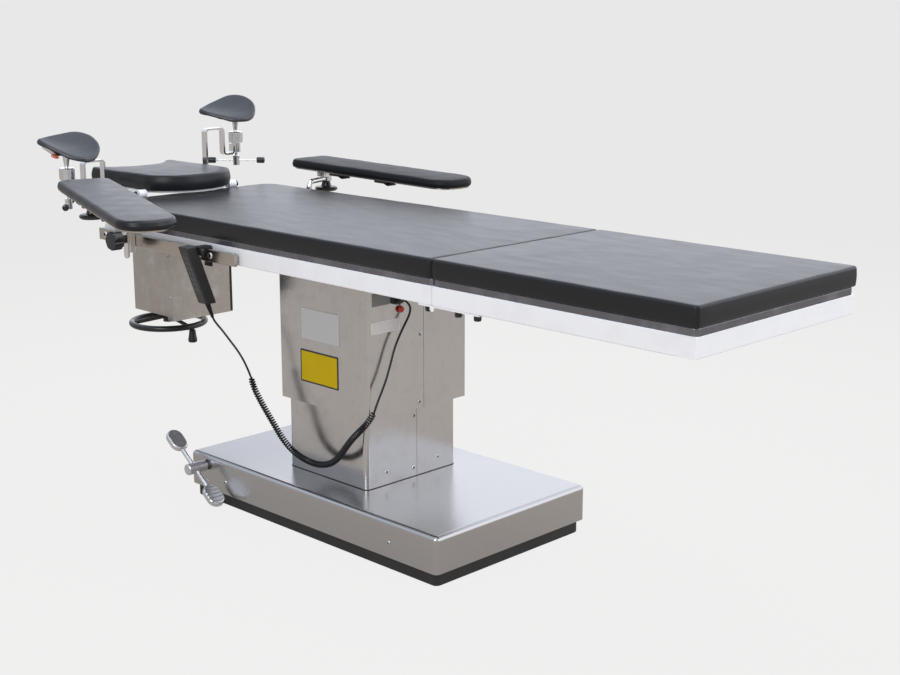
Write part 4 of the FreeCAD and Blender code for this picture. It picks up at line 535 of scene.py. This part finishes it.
def nurbs(name, route, resolution=10):
    """Smooth open spline with the route's points as its control points."""
    curve = bpy.data.curves.new(name, "CURVE")
    curve.dimensions = "3D"
    spline = curve.splines.new("NURBS")
    spline.points.add(len(route) - 1)
    for point, place in zip(spline.points, route):
        point.co = (*place, 1.0)
    spline.order_u = 3
    spline.use_endpoint_u = True
    spline.resolution_u = resolution
    curve.resolution_u = resolution
    obj = bpy.data.objects.new(name, curve)
    bpy.context.scene.collection.objects.link(obj)
    return obj


def read_line(obj):
    """The points of a curve's own line, as Blender draws it."""
    bpy.context.view_layer.update()
    depsgraph = bpy.context.evaluated_depsgraph_get()
    mesh = bpy.data.meshes.new_from_object(obj.evaluated_get(depsgraph))
    points = np.array([v.co for v in mesh.vertices], float)
    bpy.data.meshes.remove(mesh)
    return points


def evenly(points, step):
    """Points at equal steps along a line, with their distance along it."""
    legs = np.linalg.norm(np.diff(points, axis=0), axis=1)
    along = np.concatenate([[0], np.cumsum(legs)])
    count = max(2, int(round(along[-1] / step)) + 1)
    at = np.linspace(0, along[-1], count)
    return np.column_stack([np.interp(at, along, points[:, k]) for k in range(3)]), at


def frames_along(points):
    """A pair of normals that turn as little as possible along a line.

    Each side is the one before it, less its share along the tangent, so they follow one by one.
    """
    tangents = np.gradient(points, axis=0)
    tangents /= np.linalg.norm(tangents, axis=1)[:, None]
    side = np.cross(tangents[0], (0, 0, 1.0))
    side /= np.linalg.norm(side)
    sides = []
    for t in tangents:
        side = side - t * (side @ t)
        side /= np.linalg.norm(side)
        sides.append(side)
    sides = np.array(sides)
    return sides, np.cross(tangents, sides)


def tube_mesh(name, points, radius, material, count=14):
    """Round tube about a line: P + r (u cos a + v sin a) in frames that don't twist."""
    u, v = frames_along(points)
    cosine, sine = turned_ring(count)
    around = u[:, None] * cosine[:, None] + v[:, None] * sine[:, None]
    grid = (points[:, None] + radius * around).reshape(-1, 3)
    return mesh_object(name, grid, closed_rings(len(points), count), material)


def make_cords():
    """The lead from the handset, the curly cord below it, and the lead up to the column's plug."""
    line = nurbs("handset_line", HANDSET_ROUTE)
    path, _ = evenly(read_line(line), 0.002)
    bpy.data.objects.remove(line)
    lead = tube_mesh("handset_lead_cord", path, LEAD_DIAMETER / 2, RUBBER)
    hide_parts("handset_lead")
    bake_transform(lead)

    line = nurbs("curl_line", CURL_ROUTE, 24)
    core, along = evenly(read_line(line), CURL_PITCH / CURL_STEPS)
    bpy.data.objects.remove(line)
    u, v = frames_along(core)
    grow = np.clip(np.minimum(along, along[-1] - along) / CURL_TAPER, 0, 1)
    radius = CURL_RADIUS * grow * grow * (3 - 2 * grow)
    angle = 2 * math.pi * along / CURL_PITCH
    helix = core + radius[:, None] * (u * np.cos(angle)[:, None] + v * np.sin(angle)[:, None])
    curl = tube_mesh("curly_cord_coil", helix, CURL_WIRE / 2, RUBBER, 8)
    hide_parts("curly_cord")
    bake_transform(curl)

    lead = nurbs("column_lead_cord", COLUMN_ROUTE)
    lead.data.bevel_depth = LEAD_DIAMETER / 2
    lead.data.bevel_resolution = 4
    lead.data.use_fill_caps = True
    lead.data.materials.append(RUBBER)
    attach(lead, "column")
    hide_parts("column_lead")


# Cushions

TABLE_HALF_WIDTH = 0.264
MATTRESS_LOW, MATTRESS_HIGH = 0.6687, 0.7091
HEAD_PAD_LOW, HEAD_PAD_HIGH = 0.7225, 0.7629


def declare_pad(pad, body, stands_for):
    """Rides a pad on its body, in place of its solid."""
    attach(pad, body)
    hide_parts(stands_for)


def mattress(name, x0, x1, head_radius, foot_radius, body, seed):
    """One flat mattress between two places along the table, with its corners rounded."""
    half = TABLE_HALF_WIDTH
    corners = [(x0, -half), (x1, -half), (x1, half), (x0, half)]
    outline, normals = rounded_outline(
        corners, [head_radius, foot_radius, foot_radius, head_radius], 0.012, 0.0012)
    middle = min(0.20, (x1 - x0) / 3)
    spots = []
    for x, r in ((x0, head_radius), (x1, foot_radius)):
        inward = r * (1 - math.sqrt(0.5))
        for side in (-1, 1):
            spots.append((x + inward * (1 if x == x0 else -1), side * (half - inward)))
    pad = cushion(name + "_cover", outline, normals, ((x0 + middle, 0), (x1 - middle, 0)),
                  MATTRESS_LOW, MATTRESS_HIGH, PADDING, crown=0.0022, edge=0.006, bulge=0.0010,
                  wrinkle=0.0005, corners=spots, seed=seed, rings=26)
    declare_pad(pad, body, name)


def make_mattresses():
    """The back mattress and the leg mattress, which meet at the hinge."""
    mattress("back_mattress", -0.7337, 0.4397, 0.036, 0.008, "tabletop", 3)
    mattress("leg_mattress", 0.4403, 1.080, 0.008, 0.008, "leg_section", 11)


def make_head_pad():
    """Crescent: foot side bulged as a circular arc, head side hollowed between two horns.

    An arc of half width w and rise h has the radius (w^2 + h^2) / 2 h.
    """
    half, horn, foot, bulge, head, notch = 0.131, 0.107, -0.742, -0.658, -1.0085, -0.945

    def arc(xa, xm, width, n, sign):
        h = xm - xa
        r = (width ** 2 + h ** 2) / (2 * abs(h))
        centre = xm - math.copysign(r, h)
        angle = math.asin(width / r)
        a = np.linspace(-angle, angle, n) * sign
        return np.column_stack([centre + math.copysign(r, h) * np.cos(a), r * np.sin(a)])

    def run(x0, y0, x1, y1, n=60):
        t = np.linspace(0, 1, n)[1:-1, None]
        return np.array((x0, y0)) * (1 - t) + np.array((x1, y1)) * t

    outline = np.concatenate([
        arc(foot, bulge, half, 70, 1), run(foot, half, head, half), run(head, half, head, horn),
        arc(head, notch, horn, 60, -1), run(head, -horn, head, -half),
        run(head, -half, foot, -half)])
    closed = np.vstack([outline, outline[:1]])
    even, _ = evenly(np.column_stack([closed, np.zeros(len(closed))]), 0.003)
    outline, softenings = even[:-1, :2], 9
    for _ in range(softenings):
        outline = (np.roll(outline, 1, 0) + 2 * outline + np.roll(outline, -1, 0)) / 4
    normals = outward(outline)
    corners = [(foot - 0.004, -half + 0.003), (foot - 0.004, half - 0.003),
               (head + 0.004, -half + 0.003), (head + 0.004, half - 0.003)]
    pad = cushion("head_pad_cover", outline, normals, ((-0.83, -0.07), (-0.83, 0.07)),
                  HEAD_PAD_LOW, HEAD_PAD_HIGH, HEAD_PADDING, crown=0.0025, edge=0.007,
                  bulge=0.0025, wrinkle=0.0009, corners=corners, seed=21)
    declare_pad(pad, "head_section", "head_pad")


# Each wrist rest: how far its post is turned, in degrees, and raised; its stem; its pad's middle.
REST_TURN = {"right": 0.0, "left": -45.0}
REST_LIFT = {"right": -0.059, "left": 0.0}
REST_STEM = {"right": 0.040, "left": 0.048}
REST_MIDDLE = {"right": (0.005, 0.016), "left": (-0.002, -0.010)}
REST_POST = (-0.892, 0.272)
REST_POST_TOP = 0.8402
REST_TILT = math.radians(16.5)
REST_OUTLINE_MM = [
    (-50, -72), (-60, -42), (-65, -2), (-67, 37), (-56, 61), (-31, 73), (5, 71), (32, 59),
    (57, 34), (67, 9), (59, -12), (40, -34), (13, -52), (-16, -69), (-36, -76)]


def closed_curve(places, per_piece=9):
    """Smooth closed curve through given points, counterclockwise: on each piece a cubic of t.

    With A before B, then C and D, P = (2 B + (C - A) t + (2 A - 5 B + 4 C - D) t^2
    + (3 B - A - 3 C + D) t^3) / 2.
    """
    places = np.array(places, float)
    a, b, c, d = (np.roll(places, -k, axis=0)[:, None] for k in (-1, 0, 1, 2))
    t = (np.arange(per_piece) / per_piece)[:, None]
    curve = 0.5 * (2 * b + (c - a) * t + (2 * a - 5 * b + 4 * c - d) * t ** 2
                   + (3 * b - a - 3 * c + d) * t ** 3)
    curve = curve.reshape(-1, 2)
    return curve if signed_area(curve) > 0 else curve[::-1]


def signed_area(outline):
    """Half the sum of x dy - y dx round an outline: above zero where it runs counterclockwise."""
    x, y = outline[:, 0], outline[:, 1]
    return 0.5 * np.sum(x * np.roll(y, -1) - y * np.roll(x, -1))


def outward(outline):
    """Outward normals of a counterclockwise outline, from each point's two neighbours."""
    step = np.roll(outline, -1, 0) - np.roll(outline, 1, 0)
    return np.column_stack([step[:, 1], -step[:, 0]]) / np.linalg.norm(step, axis=1)[:, None]


def make_rest_pads():
    """Dished pads, high at the pointed end and drooping at the round one.

    Top: z falls by 0.10 x, by 2.3 x^2 past the middle and by a hollow of 10 mm, and rises by
    0.05 y. Underside: it rises by up to 11 mm towards the sides and the head end.
    """
    outline = closed_curve(np.array(REST_OUTLINE_MM) / 1000)
    normals = outward(outline)

    def shell(x, y):
        hollow = np.clip(1 - (x / 0.066) ** 2, 0, 1) * np.clip(1 - (y / 0.072) ** 2, 0, 1)
        return -0.10 * x - 2.3 * np.clip(x, 0, 1) ** 2 + 0.05 * y - 0.010 * hollow

    def underside(x, y):
        aside = np.clip((np.abs(y) - 0.034) / 0.034, 0, 1)
        back = np.clip((-x - 0.036) / 0.030, 0, 1)
        return 0.011 * np.maximum(aside, back * 0.8) - 0.07 * np.clip(x - 0.020, 0, 1)

    for side, sign in SIDES.items():
        turn = math.radians(REST_TURN[side])
        z = REST_POST_TOP + REST_STEM[side] + REST_LIFT[side]
        place = (Matrix.Translation((REST_POST[0], sign * REST_POST[1], z))
                 @ Matrix.Rotation(turn, 4, "Z") @ Matrix.Rotation(REST_TILT, 4, "Y")
                 @ Matrix.Rotation(-turn, 4, "Z")
                 @ Matrix.Translation((*REST_MIDDLE[side], 0)))
        pad = cushion("rest_pad_cover_" + side, outline, normals, ((-0.02, 0), (0.02, 0)),
                      0.0003, 0.0255, REST_PADDING, crown=0.0, edge=0.008, bulge=0.0015,
                      wrinkle=0.0006, dish=shell, belly=underside, matrix=place,
                      seed=31 + int(sign))
        declare_pad(pad, "rest_post_" + side, "rest_pad_" + side)


# Each arm board's turn and pitch in degrees, about its pivot on the right or left clamp
BOARD_TURN = {"right": -17.5, "left": 2.0}
BOARD_PITCH = {"right": 2.5, "left": 1.3}
BOARD_PIVOT = (-0.618, 0.372, 0.7375)
ARM_PAD_LOW, ARM_PAD_DEEP = 0.0145, 0.022


def board_place(side):
    """Matrix from an arm board's own frame to the table's."""
    x, y, z = BOARD_PIVOT
    return (Matrix.Translation((x, SIDES[side] * y, z))
            @ Matrix.Rotation(math.radians(BOARD_TURN[side]), 4, "Z")
            @ Matrix.Rotation(math.radians(BOARD_PITCH[side]), 4, "Y"))


def make_arm_pads():
    """Long thin pads, rounder at the foot end."""
    corners = [(-0.080, -0.066), (0.512, -0.066), (0.512, 0.066), (-0.080, 0.066)]
    spots = [(-0.073, -0.059), (-0.073, 0.059)]
    outline, normals = rounded_outline(corners, [0.026, 0.058, 0.058, 0.026], 0.006, 0.003)
    for side, sign in SIDES.items():
        pad = cushion("arm_pad_cover_" + side, outline, normals, ((-0.01, 0), (0.44, 0)),
                      ARM_PAD_LOW, ARM_PAD_LOW + ARM_PAD_DEEP, ARM_PADDING[side], crown=0.0022,
                      edge=0.008, bulge=0.0012, wrinkle=0.0009, corners=spots,
                      matrix=board_place(side), seed=41 + int(sign), rings=14)
        declare_pad(pad, "arm_board_" + side, "arm_pad_" + side)


# Small pieces, and the faces that they sit on

COLUMN_SIDE_Y = -0.1544
UPPER_SHROUD_X, LOWER_SHROUD_X = 0.1324, 0.1092
BASE_SIDE_Y = -0.2423
GEARBOX_FOOT_X, GEARBOX_SIDE_Y = -0.698, 0.097
RAIL_SIDE_Y, RAIL_Z = 0.278, 0.6282
TO_FOOT, TO_RIGHT = (1, 0, 0), (0, -1, 0)


def plate_part(width, height, thickness, radius, bevel):
    """Rectangular plate about the origin, with its back on z = 0.

    Of its outline P, rings P - n b lie at the back and the front, and rings P at b from each.
    """
    w, h = width / 2, height / 2
    corners = [(-w, -h), (w, -h), (w, h), (-w, h)]
    outline, normals = rounded_outline(corners, [radius] * 4, 0.004, 0.0015)
    count = len(outline)
    rings = [np.column_stack([outline - normals * inset, np.full(count, z)]) for inset, z in (
        (bevel, 0), (0, bevel), (0, thickness - bevel), (bevel, thickness))]
    return np.concatenate(rings), closed_rings(4, count)


def screw_part(radius, height):
    """Domed screw head with a recess for its socket."""
    shares = np.array([(1.02, 0.0), (1.0, 0.35), (0.9, 0.75), (0.75, 1.0), (0.62, 1.0),
                       (0.60, 0.35), (0.05, 0.30)])
    return lathe(shares * (radius, height), 18)


def put(part, matrix):
    """A part's points and faces, with its points moved by a matrix."""
    points, faces = part
    return placed(points, matrix), faces


def add_piece(name, body, parts, material):
    """One object of several parts, which rides on a body and shades sharp at its edges."""
    points, faces = joined(parts)
    obj = mesh_object(name, points, faces, material)
    obj.data.set_sharp_from_angle(angle=SHARP_ANGLE)
    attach(obj, body)
    return obj


def add_screws(name, body, spots, radius, height):
    """Screw heads with dark six-sided sockets; a spot is a place and the direction it faces."""
    socket = lathe([(radius * 0.56, height * 0.32), (radius * 0.56, height * 0.70),
                    (0.0001, height * 0.70)], 6)
    places = [facing(place, out) for place, out in spots]
    heads = [put(screw_part(radius, height), m) for m in places]
    add_piece(name, body, heads, BRIGHT)
    add_piece(name.replace("_screws", "_screw_sockets"), body, [put(socket, m) for m in places],
              BLACK)


def make_plates():
    """Blank plates and labels on the column, one with rivets and one with a border."""
    silver = facing((-0.0305, COLUMN_SIDE_Y, 0.4786), TO_RIGHT)
    yellow = facing((-0.0365, COLUMN_SIDE_Y, 0.3774), TO_RIGHT)
    raised = yellow @ Matrix.Translation((0, 0, 0.0006))
    white = facing((UPPER_SHROUD_X, -0.1015, 0.4964), TO_FOOT)
    grey = facing((UPPER_SHROUD_X, -0.1150, 0.5610), TO_FOOT)
    rivet = lathe([(0.0022, 0.0), (0.0020, 0.0008), (0.0012, 0.0013), (0.0002, 0.0015)], 14)
    rivets = [put(rivet, silver @ Matrix.Translation((x, y, 0.001)))
              for x in (-0.061, 0.061) for y in (-0.032, 0.032)]
    for name, parts, material, slot_name in (
            ("blank_silver_plate", [put(plate_part(0.131, 0.073, 0.0010, 0.003, 0.0003), silver)],
             SILVER, "steel"),
            ("silver_plate_rivets", rivets, CHROME, "chrome"),
            ("yellow_plate_border", [put(plate_part(0.133, 0.078, 0.0006, 0.003, 0.0002), yellow)],
             MATT, "dark_plastic"),
            ("yellow_plate_field", [put(plate_part(0.125, 0.070, 0.0004, 0.002, 0.0001), raised)],
             YELLOW, "white_paint"),
            ("blank_white_label", [put(plate_part(0.087, 0.028, 0.0006, 0.002, 0.0002), white)],
             LABEL, "white_paint"),
            ("blank_grey_panel", [put(plate_part(0.054, 0.030, 0.0008, 0.002, 0.0002), grey)],
             GREY, "grey_plastic")):
        add_piece(name, "column", parts, material)


def foot_shadow_bead():
    """Painted shadow: a thin dark bead round the lower shroud where it passes through the base
    cover.
    """
    head, foot, half = -0.1651, LOWER_SHROUD_X, 0.1436
    inner, outer, low, high = 0.0001, 0.0013, 0.1146, 0.1158
    corners = [(head, -half), (foot, -half), (foot, half), (head, half)]
    outline, normals = rounded_outline(corners, [0.012] * 4, 0.02, 0.002)
    count = len(outline)
    rings = [np.column_stack([outline + normals * out, np.full(count, z)])
             for out, z in ((inner, low), (outer, low), (outer, high), (inner, high), (inner, low))]
    return np.concatenate(rings), rings_to_faces(len(rings), count)


def make_column_details():
    """Screws and lapped seams of the shrouds, base, gearbox and rails, and two thin dark strips."""
    for name, body, x, places in (
            ("upper_shroud_screws", "column", UPPER_SHROUD_X, ((0.003, 0.4613), (0.0018, 0.3024))),
            ("lower_shroud_screws", "base", LOWER_SHROUD_X, (
                (0.0062, 0.2623), (0.0035, 0.1371), (-0.0818, 0.1456), (0.0832, 0.1459)))):
        add_screws(name, body, [((x, y, z), TO_FOOT) for y, z in places], 0.0044, 0.0018)
    spots = [((x, BASE_SIDE_Y, z), TO_RIGHT)
             for x, z in ((-0.295, 0.0623), (0.2872, 0.0654), (-0.3684, 0.0485))]
    add_screws("base_cover_screws", "base", spots, 0.0042, 0.0018)
    # Painted shadow: a dark bead where the column meets the base cover.
    add_piece("column_foot_shadow_bead", "base", [foot_shadow_bead()], RUBBER)
    for name, body, place, length in (
            ("upper_shroud_seam", "column", (UPPER_SHROUD_X, 0.0163, 0.436), 0.2984),
            ("lower_shroud_seam", "base", (LOWER_SHROUD_X, 0.0151, 0.2005), 0.171)):
        seam = plate_part(0.0007, length, 0.0003, 0.0002, 0.0001)
        add_piece(name, body, [put(seam, facing(place, TO_FOOT))], SEAM)
    spots = [((-0.708, side * GEARBOX_SIDE_Y, z), (0, side, 0))
             for z in (0.5496, 0.4383) for side in (-1, 1)]
    add_screws("gearbox_cover_screws", "tabletop", spots, 0.0040, 0.0018)
    spots = [((x, side * RAIL_SIDE_Y, RAIL_Z), (0, side, 0))
             for side in (-1, 1) for x in (-0.715, -0.273)]
    add_screws("rail_screws", "tabletop", spots, 0.0078, 0.0024)
    add_piece("gearbox_edge_strip", "tabletop",
              [put(plate_part(0.0070, 0.232, 0.0008, 0.0005, 0.0002),
                   facing((GEARBOX_FOOT_X, 0.0935, 0.4946), TO_FOOT))], BLACK)


def make_caps():
    """Black caps on the hinge bolts, the ends of the T-handles' rods and the head hinge's pins."""
    cap = lathe([(0.0072, 0.0), (0.0078, -0.001), (0.0078, -0.0108), (0.0066, -0.0128),
                 (0.0030, -0.0136), (0.0002, -0.0136)], 24)
    for body, places in (("leg_section", (0.501, 0.553)), ("tabletop", (0.418,))):
        parts = [put(cap, Matrix.Translation((x, side * 0.246, 0.6105)))
                 for side in (-1, 1) for x in places]
        add_piece("hinge_bolt_caps_" + body, body, parts, BLACK)
    cap = lathe([(0.0030, -0.0004), (0.0072, 0.0), (0.0084, 0.0015), (0.0086, 0.019),
                 (0.0078, 0.0212), (0.0050, 0.0222), (0.0002, 0.0224)], 24)
    for side, angle, z in (("right", -37.0, 0.688), ("left", 44.0, 0.759)):
        out = Vector((math.cos(math.radians(angle)), math.sin(math.radians(angle)), 0))
        middle = Vector((REST_POST[0], SIDES[side] * REST_POST[1], z))
        parts = [put(cap, facing(middle + out * end * 0.0585, out * end)) for end in (-1, 1)]
        add_piece("rod_end_caps_" + side, "rest_t_handle_" + side, parts, BLACK)
    cap = lathe([(0.0040, -0.0002), (0.0078, 0.0002), (0.0082, 0.0022), (0.0070, 0.0042),
                 (0.0040, 0.0050), (0.0002, 0.0052)], 24)
    parts = [put(cap, facing((-0.749, side * 0.159, 0.715), (0, side, 0))) for side in (-1, 1)]
    add_piece("head_pin_caps", "head_section", parts, BLACK)


def make_straps():
    """Two webbing bands under each arm board, each with a buckle and a loose end."""
    band = (0.025, 0.118, 0.0016), (0, 0, 0.0093), 0.0
    buckle = (0.034, 0.022, 0.0048), (0, -0.044, 0.0045), 0.0
    loose = (0.020, 0.034, 0.0016), (0.020, -0.034, 0.0020), 0.35
    for side in SIDES:
        parts = [put(plate_part(*size, 0.003, 0.0004),
                     board_place(side) @ Matrix.Translation((x + place[0], *place[1:]))
                     @ Matrix.Rotation(tilt, 4, "Y"))
                 for x in (0.088, 0.262) for size, place, tilt in (band, buckle, loose)]
        add_piece("arm_board_straps_" + side, "arm_board_" + side, parts, MATT)


# The handset's own frame: it hangs on the rail, with its foot leaning in
LEAN = math.radians(20.0)
HANDSET_PLACE = (Matrix.Translation((-0.3103, -0.330 + 0.014 * math.cos(LEAN),
                                     0.650 + 0.014 * math.sin(LEAN)))
                 @ Matrix.Rotation(LEAN, 4, "X"))


def make_handset():
    """Membrane panel with raised blank keys, and the ribbed strain relief.

    The relief's radius falls with z, and each rib stands 1.2 mm over the groove before it.
    """
    face = HANDSET_PLACE @ facing((0, -0.0132, -0.070), TO_RIGHT)
    panel = put(plate_part(0.0232, 0.1112, 0.0005, 0.002, 0.0002), face)
    add_piece("handset_panel", "tabletop", [panel], FACE)
    key = plate_part(0.0078, 0.0090, 0.0009, 0.002, 0.0003)
    keys = [put(key, face @ Matrix.Translation((side * 0.0055, 0.042 - row * 0.014, 0.0004)))
            for row in range(7) for side in (-1, 1)]
    add_piece("handset_keys", "tabletop", keys, KEYS)
    profile = [(0.0064, -0.003), (0.0066, 0.003)]
    for z in 0.003 + 0.0044 * np.arange(8):
        r = 0.0064 - 0.0026 * z / 0.036
        profile += [(r - 0.0012, z + 0.0006), (r - 0.0012, z + 0.0018), (r, z + 0.0022),
                    (r, z + 0.0042)]
    profile += [(0.0036, 0.036), (0.0027, 0.036)]
    down = HANDSET_PLACE @ Matrix.Translation((0, 0, -0.1551)) @ Matrix.Rotation(math.pi, 4, "X")
    relief = add_piece("handset_relief_ribs", "tabletop", [put(lathe(profile, 24), down)], RUBBER)
    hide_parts("handset_relief")


# Stage, light and camera

def make_stage():
    """Paper floor to the horizon: 0.93 glow to the camera, 0.36 in mirrors, else plain paper."""
    bpy.ops.mesh.primitive_plane_add(size=3000.0, location=(0, 0, 0))
    floor = bpy.context.object
    floor.name = "floor"
    material = bpy.data.materials.new("floor_paper")
    material.use_nodes = True
    tree = material.node_tree
    tree.nodes.clear()
    place = node(tree, "ShaderNodeTexCoord")["Object"]
    far = node(tree, "ShaderNodeVectorMath", {0: place}, operation="LENGTH")["Value"]
    tone = ramp(tree, far, 0.6, 5.0)
    colour = mix_colours(tree, tone, (0.905, 0.905, 0.905), (0.845, 0.845, 0.845))
    path = node(tree, "ShaderNodeLightPath")
    seen = maths(tree, "MULTIPLY", path["Is Camera Ray"], 0.93)
    mirrored = maths(tree, "MULTIPLY", path["Is Glossy Ray"], 0.36)
    paper = node(tree, "ShaderNodeBsdfDiffuse", {"Color": (0.34, 0.275, 0.22)})[0]
    glow = node(tree, "ShaderNodeEmission", {"Color": colour, "Strength": 1.0})[0]
    mixed = node(tree, "ShaderNodeMixShader", {
        0: maths(tree, "ADD", seen, mirrored), 1: paper, 2: glow})[0]
    node(tree, "ShaderNodeOutputMaterial", {"Surface": mixed})
    floor.data.materials.append(material)


def make_world():
    """Sky that brightens upwards, brightest low down beyond the table; plain to the camera."""
    world = bpy.data.worlds.new("studio")
    bpy.context.scene.world = world
    world.use_nodes = True
    tree = world.node_tree
    place = node(tree, "ShaderNodeTexCoord")["Generated"]
    split = node(tree, "ShaderNodeSeparateXYZ", {0: place})
    tone = ramp(tree, split["Z"], -0.1, 0.7)
    sky = mix_colours(tree, tone, (0.44, 0.44, 0.445), (0.88, 0.98, 1.15))
    beyond = ramp(tree, split["Y"], 0.10, 0.55)
    low = ramp(tree, split["Z"], 0.95, 0.50)
    colour = mix_colours(tree, maths(tree, "MULTIPLY", beyond, low), sky, (1.56, 1.62, 1.76))
    seen = node(tree, "ShaderNodeLightPath")["Is Camera Ray"]
    feed(tree, tree.nodes["Background"].inputs["Color"],
         mix_colours(tree, seen, colour, (0.807, 0.806, 0.804)))


def area_light(name, place, target, size, power, colour=(1, 1, 1)):
    """Rectangular lamp at a place, turned to a target."""
    data = bpy.data.lights.new(name, "AREA")
    data.shape = "RECTANGLE"
    data.size, data.size_y = size
    data.energy = power
    data.color = colour
    obj = bpy.data.objects.new(name, data)
    obj.location = place
    obj.rotation_euler = (Vector(target) - Vector(place)).to_track_quat("-Z", "Y").to_euler()
    bpy.context.scene.collection.objects.link(obj)


def make_lights():
    """Soft lamps above, beyond the foot end and on the right side."""
    area_light("overhead", (0.7, 0.5, 3.2), (0.2, 0, 0.5), (3.0, 2.4), 44.0, (0.96, 0.98, 1.0))
    area_light("right_front", (3.2, 0.6, 2.0), (0.1, 0, 0.5), (1.8, 2.0), 20.0)
    area_light("front", (1.0, -3.3, 2.2), (0.0, 0, 0.5), (1.6, 1.8), 46.0, (1.0, 0.995, 0.99))


def make_camera():
    """Camera solved from the straight edges in the photograph."""
    data = bpy.data.cameras.new("camera")
    data.lens = 58.25
    data.sensor_width = 36.0
    camera = bpy.data.objects.new("camera", data)
    camera.location = (2.4625, -2.2514, 1.2149)
    azimuth, elevation = math.radians(44.711), math.radians(13.213)
    level = math.cos(elevation)
    forward = Vector((-math.sin(azimuth) * level, math.cos(azimuth) * level, -math.sin(elevation)))
    camera.rotation_euler = forward.to_track_quat("-Z", "Y").to_euler()
    bpy.context.scene.collection.objects.link(camera)
    bpy.context.scene.camera = camera
    bpy.context.scene.view_settings.view_transform = "Standard"


def main():
    """Builds the scene, each step in its order."""
    for step in (make_camera, dress_nodes, make_cords, make_mattresses, make_head_pad,
                 make_rest_pads, make_arm_pads, make_plates, make_column_details, make_caps,
                 make_straps, make_handset, make_stage, make_world, make_lights):
        step()


main()
